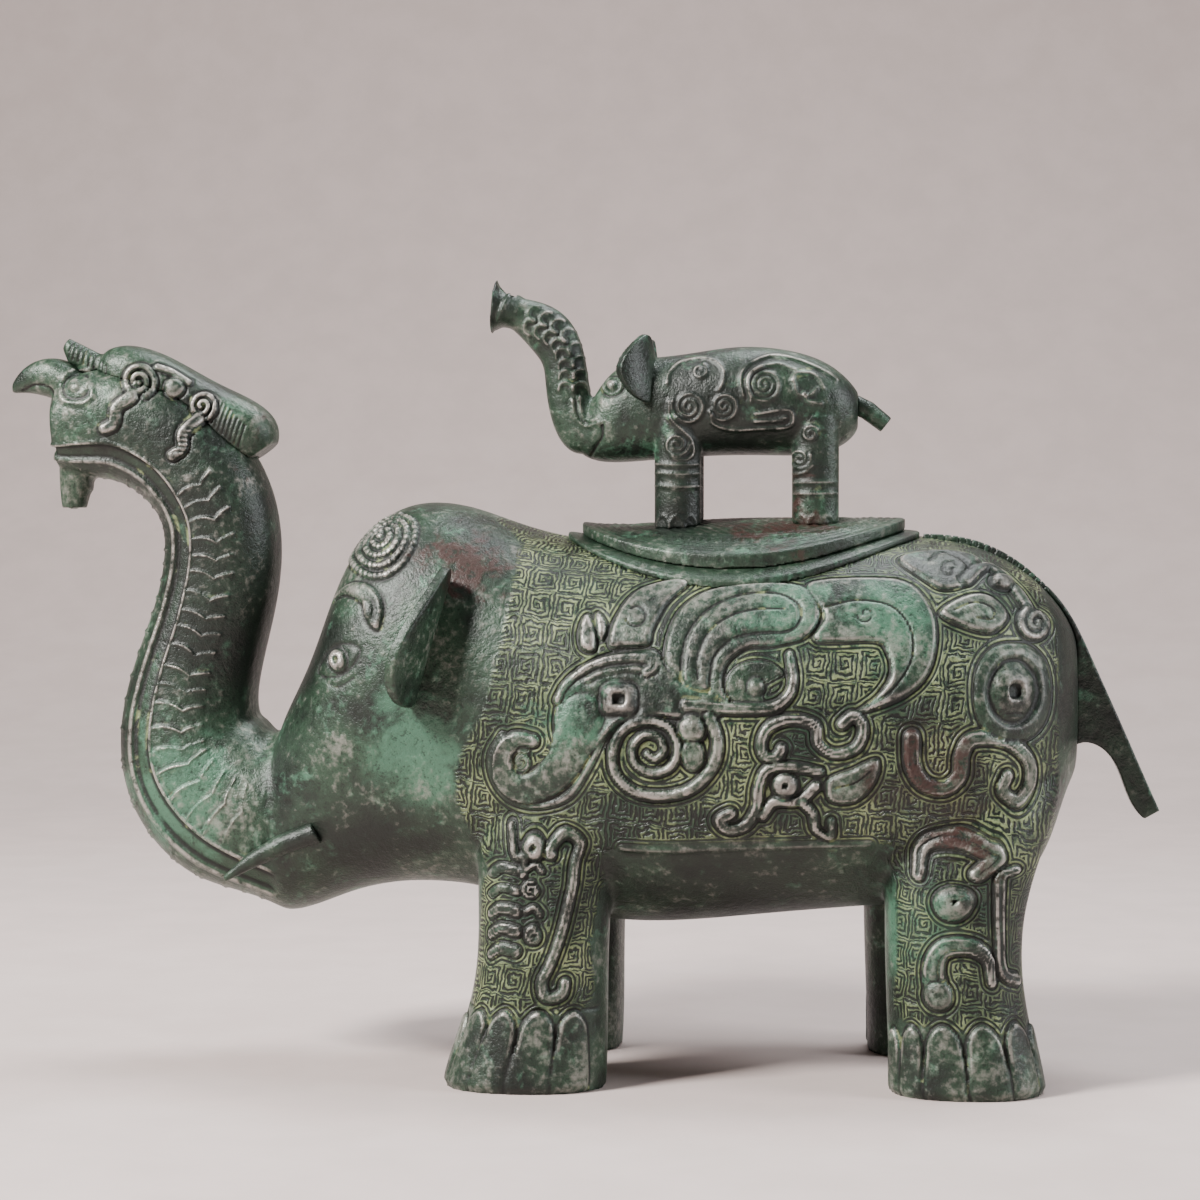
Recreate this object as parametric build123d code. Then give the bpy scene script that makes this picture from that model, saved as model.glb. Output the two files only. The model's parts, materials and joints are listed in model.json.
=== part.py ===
from build123d import *
from math import cos, sin, pi
import os

# Elephant-shaped bronze wine vessel, millimetres, +Z up.
# The elephant looks along -X, its left flank faces -Y, and it stands on Z = 0.

# cast walls, and the gaps between what lifts off and what stays
WALL = 3.4
TRUNK_WALL = 3.2
LID_GAP = 0.35
FLANGE_GAP = 0.6

# cross-sections: points round each ring, how square it is, how high its widest place lies
RING_POINTS = 12
BODY_FULLNESS = 2.25
BODY_WIDEST = 0.47
LIMB_FULLNESS = 2.35

# head and body, front to back: X, underside Z, top Z, half width
BODY = [
    (-92.0, 48.0, 107.0, 26.0),
    (-86.0, 48.2, 120.5, 29.5),
    (-79.0, 50.5, 137.5, 33.0),
    (-71.0, 53.5, 157.5, 36.5),
    (-60.0, 56.3, 171.0, 40.0),
    (-44.0, 57.3, 175.8, 43.0),
    (-28.0, 55.5, 172.6, 46.0),
    (-10.0, 50.5, 166.6, 49.5),
    (12.0, 46.3, 163.8, 52.5),
    (40.0, 46.6, 165.0, 54.0),
    (70.0, 49.5, 165.6, 54.0),
    (95.0, 51.5, 165.8, 52.5),
    (115.0, 52.5, 164.0, 49.0),
    (130.0, 55.5, 159.4, 44.0),
    (141.0, 63.0, 152.2, 37.0),
    (148.0, 78.0, 145.0, 28.0),
    (152.0, 89.0, 138.6, 18.0),
    (154.0, 99.0, 130.0, 8.0),
]
HOLLOW_STATIONS = (0, 1, 3, 5, 7, 9, 11, 13, 14, 15)
NECK_TOP = (-13.0, 167.0)
NECK_FOOT = (-31.0, 55.0)

# trunk from the head to its tip: X, Z, heading in degrees from +X, half depth, half width
TRUNK = [
    (-109.8, 82.5, 155.0, 26.4, 24.0),
    (-120.3, 93.7, 125.0, 24.4, 21.5),
    (-123.0, 105.5, 100.0, 21.9, 19.5),
    (-120.9, 121.3, 80.0, 19.6, 17.5),
    (-115.5, 140.3, 78.0, 18.4, 16.5),
    (-112.3, 159.2, 90.0, 18.2, 16.0),
    (-114.2, 174.6, 110.0, 18.0, 16.0),
    (-124.5, 190.1, 140.0, 18.0, 15.5),
    (-137.9, 198.7, 165.0, 18.2, 15.0),
    (-149.0, 200.8, 180.0, 17.6, 14.4),
    (-164.8, 198.4, 184.0, 11.8, 11.5),
]
BORE_STATIONS = (0, 1, 2, 4, 6, 7, 8, 10)
SPOUT_RUN_OUT = 3.0

# fingers of the trunk tip: X, Z, half depth, half width
UPPER_FINGER = [
    (-158.0, 211.0, 7.0, 7.5),
    (-168.0, 215.3, 6.2, 6.5),
    (-174.0, 215.0, 4.6, 4.6),
    (-179.7, 211.8, 1.6, 1.6),
]
LOWER_FINGER = [
    (-158.0, 189.0, 6.4, 6.5),
    (-159.2, 182.0, 5.2, 5.4),
    (-160.0, 174.2, 3.8, 3.8),
]

# crouching beast on the trunk: X, Z, heading, half depth, half width
BEAST = [
    (-152.0, 215.0, 170.0, 4.0, 5.0),
    (-143.0, 215.6, 175.0, 9.8, 10.5),
    (-132.0, 211.6, 155.0, 10.2, 11.0),
    (-119.0, 205.2, 148.0, 9.6, 11.0),
    (-107.0, 198.8, 140.0, 10.0, 11.5),
    (-99.5, 191.5, 125.0, 5.5, 7.5),
]
BEAST_TAIL = [
    (-144.0, 0.0, 218.0, 4.6),
    (-153.5, 0.0, 219.6, 3.8),
    (-159.5, 0.0, 222.6, 3.8),
    (-162.4, 0.0, 226.0, 2.0),
]
BEAST_TAIL_HEADING = 150.0

# ears: X and Z of the root's middle, size of the leaf, how it is cupped, swung and tilted
EAR_PLACE = (-38.6, 134.4)
EAR_HEIGHT = 43.0
EAR_REACH = 18.5
EAR_THICKNESS = 3.2
EAR_CUP_RADIUS = 28.0
EAR_SWING = 18.0
EAR_LEAN = 15.0
EAR_BITE = 1.5

# tusks: X, Z, radius and how far the middle stands out from the cheek
TUSK = [
    (-77.0, 75.2, 3.5, -3.0),
    (-88.0, 71.2, 3.2, 2.2),
    (-97.5, 66.2, 2.4, 4.6),
    (-105.6, 60.6, 0.9, 5.0),
]
TUSK_HEADING = 208.0

# legs, sole to shoulder: Z, middle X, half length, middle Y, half width
FRONT_LEG = [
    (0.0, -12.8, 24.2, 33.0, 19.0),
    (18.5, -9.7, 21.8, 33.0, 17.2),
    (42.0, -7.4, 19.8, 33.0, 16.2),
    (60.0, -6.8, 20.4, 32.4, 16.8),
    (80.0, -5.0, 21.0, 30.0, 17.5),
    (98.0, -3.0, 20.0, 26.0, 15.0),
]
HIND_LEG = [
    (0.0, 119.2, 22.8, 33.0, 19.0),
    (20.0, 117.0, 21.1, 33.0, 17.2),
    (42.0, 115.4, 20.2, 33.0, 16.2),
    (57.0, 116.2, 21.2, 32.0, 16.8),
    (75.0, 119.2, 24.0, 28.5, 17.5),
    (94.0, 122.6, 25.0, 23.0, 16.0),
]
RIGHT_HIND_STEP = 5.5
CORE_RADIUS = 11.8
CORE_HEIGHT = 42.0
CORE_RECESS = 2.0
CORE_STATION = 2

# oval mouth in the back, its raised seat and the lid
MOUTH_CENTRE = 51.7
MOUTH_STATION = 9
MOUTH_LENGTH = 88.0
MOUTH_WIDTH = 57.0
SEAT_MARGIN = 10.5
SEAT_HEIGHT = 1.6
LID_END_LAP = 6.0
LID_SIDE_LAP = 7.5
LID_THICKNESS = 3.2
FLANGE_THICKNESS = 2.4
FLANGE_DEPTH = 2.0

# flange along the spine and down the tail, outer edge X, Z
SPINE = [
    (107.2, 166.0),
    (115.5, 165.6),
    (124.0, 163.8),
    (133.3, 159.6),
    (145.0, 150.2),
    (152.3, 141.2),
    (159.1, 127.4),
    (167.4, 108.9),
    (179.7, 81.0),
]
SPINE_HEIGHT = 1.6
SPINE_BITE = 1.2
SPINE_WIDTH = 3.0
TAIL_START = 4
TAIL_UNDERSIDE = [
    (175.0, 78.4),
    (172.4, 81.2),
    (168.4, 90.1),
    (162.9, 99.4),
    (157.6, 101.8),
    (152.0, 99.0),
]
TAIL_WIDTH = 6.0

# small elephant on the lid: X, underside Z, top Z, half width
CALF = [
    (2.0, 190.4, 204.0, 6.5),
    (7.0, 188.6, 211.5, 9.5),
    (14.0, 188.3, 218.3, 12.0),
    (24.0, 189.0, 220.8, 13.4),
    (44.0, 190.3, 223.4, 15.5),
    (62.0, 190.3, 223.4, 15.5),
    (74.0, 190.8, 220.4, 14.5),
    (83.0, 194.0, 214.6, 11.0),
    (87.0, 199.0, 209.6, 5.0),
]
CALF_TRUNK = [
    (8.0, 199.0, 150.0, 9.0, 7.5),
    (0.2, 201.6, 120.0, 7.9, 6.6),
    (-3.2, 212.5, 88.0, 6.8, 6.0),
    (-5.4, 223.2, 122.0, 7.0, 5.8),
    (-12.4, 231.2, 150.0, 6.9, 5.8),
    (-26.3, 237.2, 176.0, 8.6, 7.6),
]
CALF_SPOUT_RADIUS = 4.6
CALF_SPOUT_DEPTH = 7.0
CALF_LEG_PLACES = (31.8, 74.0)
CALF_LEG_Y = 9.2
CALF_LEG_LENGTH = 14.4
CALF_LEG_WIDTH = 11.6
CALF_LEG_FOOT = 164.0
CALF_LEG_TOP = 202.0
CALF_EAR_PLACE = (21.5, 216.0)
CALF_EAR_HEIGHT = 22.0
CALF_EAR_REACH = 13.5
CALF_EAR_THICKNESS = 2.6
CALF_EAR_CUP_RADIUS = 16.0
CALF_EAR_SWING = 46.0
CALF_TAIL = [
    (81.0, 0.0, 208.0, 3.6),
    (90.0, 0.0, 204.2, 3.0),
    (95.8, 0.0, 199.6, 2.7),
]
CALF_TAIL_HEADING = -38.0


def signed_power(value, fullness):
    size = abs(value) ** (2 / fullness)
    return size if value >= 0 else -size


def ring(plane, up, down, half_width, fullness=LIMB_FULLNESS):
    # closed cross-section: the plane's first axis is its depth, the second its width
    points = []
    for step in range(RING_POINTS):
        angle = 2 * pi * step / RING_POINTS
        depth = signed_power(cos(angle), fullness)
        depth *= up if depth > 0 else down
        width = half_width * signed_power(sin(angle), fullness)
        points.append(plane.from_local_coords((depth, width, 0)))
    return Wire([Edge.make_spline(points, periodic=True)])


def body_ring(x, low, high, half_width, grow=0.0):
    # section of a head or body, its skin moved outwards by grow
    widest = low + BODY_WIDEST * (high - low)
    plane = Plane(origin=(x, 0, widest), x_dir=(0, 0, 1), z_dir=(-1, 0, 0))
    return ring(plane, high - widest + grow, widest - low + grow, half_width + grow, BODY_FULLNESS)


def side_plane(x, z, heading, y=0.0):
    # plane across a limb that runs at this heading in a plane parallel to XZ
    turn = heading * pi / 180
    return Plane(origin=(x, y, z), x_dir=(sin(turn), 0, -cos(turn)), z_dir=(cos(turn), 0, sin(turn)))


def limb_ring(x, z, heading, half_depth, half_width, grow=0.0):
    depth = half_depth + grow
    return ring(side_plane(x, z, heading), depth, depth, half_width + grow)


def level_ring(z, x, half_length, y, half_width):
    return ring(Plane(origin=(x, y, z)), half_length, half_length, half_width)


def half_width_at(stations, x):
    # half width of a body between its stations
    for near, far in zip(stations, stations[1:]):
        if near[0] <= x <= far[0]:
            share = (x - near[0]) / (far[0] - near[0])
            return near[3] + share * (far[3] - near[3])
    return stations[0][3]


def on_side(shape, side):
    # pieces are shaped on the right, at +Y
    return shape.mirror(Plane.XZ) if side == "left" else shape


def body_form(grow=0.0):
    return Solid.make_loft([body_ring(*station, grow) for station in BODY])


def body_hollow():
    return Solid.make_loft([body_ring(*BODY[index], -WALL) for index in HOLLOW_STATIONS], True)


def oval_post(length, width):
    # upright oval prism from the middle of the body out through the back
    low, high = BODY[MOUTH_STATION][1:3]
    middle = (low + high) / 2
    return extrude(Pos(MOUTH_CENTRE, 0, middle) * Ellipse(length / 2, width / 2), high - low)


def neck_plane():
    rise = Vector(NECK_TOP[0] - NECK_FOOT[0], 0, NECK_TOP[1] - NECK_FOOT[1])
    return Plane(origin=(NECK_FOOT[0], 0, NECK_FOOT[1]), z_dir=Vector(0, 1, 0).cross(rise))


def mouth_seat(form):
    # raised oval band on which the lid lies
    band = oval_post(MOUTH_LENGTH + 2 * SEAT_MARGIN, MOUTH_WIDTH + 2 * SEAT_MARGIN)
    band -= oval_post(MOUTH_LENGTH, MOUTH_WIDTH)
    return (band & body_form(SEAT_HEIGHT)) - form


def lid_plate(lid_top, lid_under):
    plate = oval_post(MOUTH_LENGTH + 2 * LID_END_LAP, MOUTH_WIDTH + 2 * LID_SIDE_LAP)
    return (plate & lid_top) - lid_under


def lid_flange(lid_under):
    # lip under the lid that keeps it centred in the mouth
    length = MOUTH_LENGTH - 2 * FLANGE_GAP
    width = MOUTH_WIDTH - 2 * FLANGE_GAP
    lip = oval_post(length, width)
    lip -= oval_post(length - 2 * FLANGE_THICKNESS, width - 2 * FLANGE_THICKNESS)
    return (lip & lid_under) - body_form(-WALL - FLANGE_DEPTH)


def trunk_form():
    rings = [body_ring(*BODY[0])] + [limb_ring(*station) for station in TRUNK]
    upper = [limb_ring(x, z, 180, depth, width) for x, z, depth, width in UPPER_FINGER]
    lower = [level_ring(z, x, depth, 0, width) for x, z, depth, width in LOWER_FINGER]
    return Solid.make_loft(rings) + Solid.make_loft(upper) + Solid.make_loft(lower)


def trunk_bore():
    # pouring channel from the head's hollow out through the tip
    rings = [body_ring(*BODY[0], -WALL)]
    rings += [limb_ring(*TRUNK[index], -TRUNK_WALL) for index in BORE_STATIONS]
    x, z, heading, half_depth, half_width = TRUNK[-1]
    rings.append(limb_ring(x - SPOUT_RUN_OUT, z, heading, half_depth, half_width, -TRUNK_WALL))
    return Solid.make_loft(rings, True)


def trunk_beast():
    return Solid.make_loft([limb_ring(*station) for station in BEAST]) + horn(BEAST_TAIL, BEAST_TAIL_HEADING)


def ear(root, height, reach, thickness, cup_radius, swing):
    # leaf outline cut from a thin cupped shell, standing out on the +Y side
    half = height / 2
    leaf = Spline(
        (-0.3 * reach, 0.7 * half),
        (0.12 * reach, half),
        (0.55 * reach, 0.62 * half),
        (0.88 * reach, 0.1 * half),
        (reach, -0.4 * half),
        (0.8 * reach, -0.85 * half),
        (0.35 * reach, -half),
        (-0.3 * reach, -0.75 * half),
        periodic=True,
    )
    outline = extrude(make_face(leaf), cup_radius / 2, both=True)
    shell = Cylinder(cup_radius, 2 * height, rotation=(90, 0, 0))
    shell -= Cylinder(cup_radius - thickness, 2 * height, rotation=(90, 0, 0))
    piece = outline & Pos(0.4 * reach, 0, -cup_radius) * shell
    frame = Plane(origin=root, x_dir=(0, 1, 0), z_dir=(1, 0, 0))
    return frame * Rot(EAR_LEAN, 0, 0) * Rot(0, swing, 0) * piece


def ear_root(stations, place):
    x, z = place
    return x, half_width_at(stations, x) - EAR_BITE, z


def horn(stations, heading):
    # straight-sided taper through round sections: X, Y, Z, radius
    rings = []
    for x, y, z, radius in stations:
        rings.append((side_plane(x, z, heading, y) * Circle(radius)).wire())
    return Solid.make_loft(rings, True)


def tusk():
    stations = [(x, half_width_at(BODY, x) + out, z, radius) for x, z, radius, out in TUSK]
    return horn(stations, TUSK_HEADING)


def leg(stations):
    return Solid.make_loft([level_ring(*station) for station in stations])


def core_post(stations, low, high):
    z, x, half_length, y, half_width = stations[CORE_STATION]
    return Pos(x, y, (low + high) / 2) * Cylinder(CORE_RADIUS, high - low)


def side_prism(edges, width):
    # outline drawn in X and Z, thickened across the middle plane
    return extrude(Plane.XZ * make_face(edges), width / 2, both=True)


def spine_band():
    # strip under the outer edge of the spine and tail
    outer = Spline(*SPINE)
    depth = SPINE_HEIGHT + SPINE_BITE
    inner_points = []
    for step in range(2 * len(SPINE)):
        share = step / (2 * len(SPINE) - 1)
        tangent = outer % share
        inner_points.append(outer @ share + Vector(tangent.Y, -tangent.X) * depth)
    inner = Spline(*inner_points)
    return side_prism([outer, inner, Line(outer @ 0, inner @ 0), Line(outer @ 1, inner @ 1)], SPINE_WIDTH)


def tail_web():
    outer = Spline(*SPINE[TAIL_START:])
    inner = Spline(*TAIL_UNDERSIDE)
    edges = [outer, inner, Line(outer @ 1, inner @ 0), Line(outer @ 0, inner @ 1)]
    return side_prism(edges, TAIL_WIDTH)


def calf(floor):
    body = Solid.make_loft([body_ring(*station) for station in CALF])
    body += Solid.make_loft([limb_ring(*station) for station in CALF_TRUNK])
    body -= side_plane(*CALF_TRUNK[-1][:3]) * Cylinder(CALF_SPOUT_RADIUS, 2 * CALF_SPOUT_DEPTH)
    sole = Ellipse(CALF_LEG_LENGTH / 2, CALF_LEG_WIDTH / 2)
    for x in CALF_LEG_PLACES:
        for y in (-CALF_LEG_Y, CALF_LEG_Y):
            body += extrude(Pos(x, y, CALF_LEG_FOOT) * sole, CALF_LEG_TOP - CALF_LEG_FOOT) - floor
    return body


form = body_form()
walls = form - body_hollow() - oval_post(MOUTH_LENGTH, MOUTH_WIDTH)
trunk_solid = trunk_form()
pieces = {
    "torso": split(walls, neck_plane(), keep=Keep.TOP),
    "head": split(walls, neck_plane(), keep=Keep.BOTTOM),
    "mouth_seat": mouth_seat(form),
    "trunk": trunk_solid - trunk_bore(),
    "trunk_beast": trunk_beast() - trunk_solid,
}
pieces["spine_flange"] = spine_band() - form - pieces["mouth_seat"]
pieces["tail"] = tail_web() - form - pieces["spine_flange"]

flap = ear(ear_root(BODY, EAR_PLACE), EAR_HEIGHT, EAR_REACH, EAR_THICKNESS, EAR_CUP_RADIUS, EAR_SWING)
for side in ("left", "right"):
    pieces["ear_" + side] = on_side(flap, side) - form
    pieces["tusk_" + side] = on_side(tusk(), side) - form - trunk_solid
    for end, stations in (("front", FRONT_LEG), ("hind", HIND_LEG)):
        step = Pos(-RIGHT_HIND_STEP, 0, 0) if (end, side) == ("hind", "right") else Pos()
        socket = core_post(stations, 0, CORE_RECESS + CORE_HEIGHT)
        core = core_post(stations, CORE_RECESS, CORE_RECESS + CORE_HEIGHT)
        pieces["leg_" + end + "_" + side] = step * on_side(leg(stations) - socket, side) - form
        pieces["core_" + end + "_" + side] = step * on_side(core, side)

lid_under = body_form(SEAT_HEIGHT + LID_GAP)
lid_top = body_form(SEAT_HEIGHT + LID_GAP + LID_THICKNESS)
pieces["lid_plate"] = lid_plate(lid_top, lid_under)
pieces["lid_flange"] = lid_flange(lid_under)
calf_body = calf(lid_top)
pieces["calf_body"] = calf_body
pieces["calf_tail"] = horn(CALF_TAIL, CALF_TAIL_HEADING) - calf_body
root = ear_root(CALF, CALF_EAR_PLACE)
flap = ear(root, CALF_EAR_HEIGHT, CALF_EAR_REACH, CALF_EAR_THICKNESS, CALF_EAR_CUP_RADIUS, CALF_EAR_SWING)
for side in ("left", "right"):
    pieces["calf_ear_" + side] = on_side(flap, side) - calf_body

os.makedirs("parts", exist_ok=True)
for name, piece in pieces.items():
    export_step(piece, "parts/" + name + ".step")
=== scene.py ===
import bpy
import json
import math
import numpy as np
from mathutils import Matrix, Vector

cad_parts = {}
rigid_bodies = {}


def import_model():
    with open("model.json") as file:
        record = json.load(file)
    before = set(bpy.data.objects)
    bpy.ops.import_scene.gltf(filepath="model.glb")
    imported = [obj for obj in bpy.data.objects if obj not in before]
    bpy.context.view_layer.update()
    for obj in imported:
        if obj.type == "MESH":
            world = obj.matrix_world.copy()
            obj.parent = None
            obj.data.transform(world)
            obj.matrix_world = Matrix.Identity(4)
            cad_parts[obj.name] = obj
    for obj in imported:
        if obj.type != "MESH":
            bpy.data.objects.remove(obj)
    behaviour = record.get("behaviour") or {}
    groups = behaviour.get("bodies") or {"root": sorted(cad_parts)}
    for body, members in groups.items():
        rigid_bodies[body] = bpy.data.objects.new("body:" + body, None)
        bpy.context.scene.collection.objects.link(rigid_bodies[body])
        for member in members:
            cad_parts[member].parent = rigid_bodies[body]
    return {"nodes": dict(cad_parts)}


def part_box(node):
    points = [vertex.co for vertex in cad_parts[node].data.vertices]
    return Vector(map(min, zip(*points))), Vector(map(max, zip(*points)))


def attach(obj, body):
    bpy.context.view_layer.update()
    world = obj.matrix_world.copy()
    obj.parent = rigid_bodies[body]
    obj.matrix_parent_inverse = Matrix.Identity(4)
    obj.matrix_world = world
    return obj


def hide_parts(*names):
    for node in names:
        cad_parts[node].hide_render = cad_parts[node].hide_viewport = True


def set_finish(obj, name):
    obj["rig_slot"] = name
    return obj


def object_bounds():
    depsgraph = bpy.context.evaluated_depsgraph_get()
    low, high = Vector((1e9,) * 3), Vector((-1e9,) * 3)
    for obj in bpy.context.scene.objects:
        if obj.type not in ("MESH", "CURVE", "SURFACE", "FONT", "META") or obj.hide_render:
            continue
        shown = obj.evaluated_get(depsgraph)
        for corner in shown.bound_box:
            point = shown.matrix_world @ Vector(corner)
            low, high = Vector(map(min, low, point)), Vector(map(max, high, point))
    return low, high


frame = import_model()
nodes = frame["nodes"]
cadBox = [list(corner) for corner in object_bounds()]
mm = 0.001

# camera of the photograph
shot = {"place": (0.07795, -0.88185, 0.16847), "aim": (0.007, 0.0, 0.1453), "lens": 85.0, "sensor": 36.0}
bpy.ops.object.camera_add(location=shot["place"])
camera = bpy.context.object
camera.rotation_euler = (Vector(shot["aim"]) - camera.location).to_track_quat("-Z", "Y").to_euler()
camera.data.lens = shot["lens"]
camera.data.sensor_width = shot["sensor"]
camera.data.clip_start = 0.01
bpy.context.scene.camera = camera


# mesh helpers

def only(*objects):
    for other in list(bpy.context.selected_objects):
        other.select_set(False)
    for item in objects:
        item.hide_set(False)
        item.select_set(True)
    bpy.context.view_layer.objects.active = objects[0]


def copyOf(names, title):
    # copies of CAD nodes joined to one mesh, their loose triangles merged
    copies = []
    for name in names:
        twin = nodes[name].copy()
        twin.data = nodes[name].data.copy()
        for key in list(twin.keys()):
            del twin[key]
        twin.parent = None
        bpy.context.scene.collection.objects.link(twin)
        copies.append(twin)
    only(*copies)
    if len(copies) > 1:
        bpy.ops.object.join()
    piece = bpy.context.view_layer.objects.active
    piece.name = title
    piece.data.materials.clear()
    bpy.ops.object.mode_set(mode="EDIT")
    bpy.ops.mesh.select_all(action="SELECT")
    bpy.ops.mesh.remove_doubles(threshold=0.00001)
    bpy.ops.object.mode_set(mode="OBJECT")
    return piece


def modify(piece, kind, **settings):
    only(piece)
    modifier = piece.modifiers.new(kind.lower(), kind)
    for key, value in settings.items():
        setattr(modifier, key, value)
    bpy.ops.object.modifier_apply(modifier=modifier.name)


def remesh(piece, voxel):
    modify(piece, "REMESH", mode="VOXEL", voxel_size=voxel * 1.0 * mm, adaptivity=0.0)


def pointsOf(piece, what="co"):
    values = np.empty(len(piece.data.vertices) * 3, np.float32)
    piece.data.vertices.foreach_get(what, values)
    return values.reshape(-1, 3).astype(float)


def setPoints(piece, points):
    low, high = np.array(cadBox[0]), np.array(cadBox[1])
    piece.data.vertices.foreach_set("co", np.clip(points, low, high).astype(np.float32).ravel())
    piece.data.update()


def remember(piece, name, columns):
    values = np.column_stack(columns).astype(np.float32)
    layer = piece.data.attributes.new(name, "FLOAT_VECTOR", "POINT")
    layer.data.foreach_set("vector", values.ravel())


def faceCentres(piece):
    values = np.empty(len(piece.data.polygons) * 3, np.float32)
    piece.data.polygons.foreach_get("center", values)
    return values.reshape(-1, 3).astype(float) / mm


def selectFaces(piece, chosen):
    only(piece)
    count = len(piece.data.vertices)
    piece.data.vertices.foreach_set("select", np.zeros(count, bool))
    piece.data.edges.foreach_set("select", np.zeros(len(piece.data.edges), bool))
    piece.data.polygons.foreach_set("select", np.asarray(chosen, bool))


def smoothAll(piece):
    piece.data.polygons.foreach_set("use_smooth", np.ones(len(piece.data.polygons), bool))


def ramp(value, low, high):
    share = np.clip((value - low) / (high - low), 0.0, 1.0)
    return share * share * (3.0 - 2.0 * share)


# relief drawn in millimetres on a sheet that is then wrapped on a surface

def flow(points, closed=False, step=0.7):
    # smooth line through given points
    given = np.array(points, float)
    before = np.roll(given, 1, 0) if closed else np.vstack([2 * given[0] - given[1], given[:-1]])
    after = np.roll(given, -1, 0) if closed else np.vstack([given[1:], 2 * given[-1] - given[-2]])
    beyond = np.roll(given, -2, 0) if closed else np.vstack([after[1:], 2 * after[-1] - after[-2]])
    path = []
    for index in range(len(given) if closed else len(given) - 1):
        p0, p1, p2, p3 = before[index], given[index], after[index], beyond[index]
        count = max(2, int(np.linalg.norm(p2 - p1) / step))
        t = np.linspace(0, 1, count, endpoint=False)[:, None]
        curve = 2 * p1 + (p2 - p0) * t + (2 * p0 - 5 * p1 + 4 * p2 - p3) * t**2 + (3 * p1 - p0 - 3 * p2 + p3) * t**3
        path.append(0.5 * curve)
    path.append(given[:1] if closed else given[-1:])
    return np.vstack(path)


def coil(centre, outer, inner, turns, start=0.0, squash=1.0, hand=1):
    # spiral from the outside in, start in degrees
    count = int(12 * turns) + 1
    points = []
    for index in range(count):
        share = index / (count - 1)
        angle = math.radians(start) + hand * share * turns * 2 * math.pi
        radius = outer + (inner - outer) * share
        points.append((centre[0] + radius * math.cos(angle), centre[1] + squash * radius * math.sin(angle)))
    return points


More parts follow.
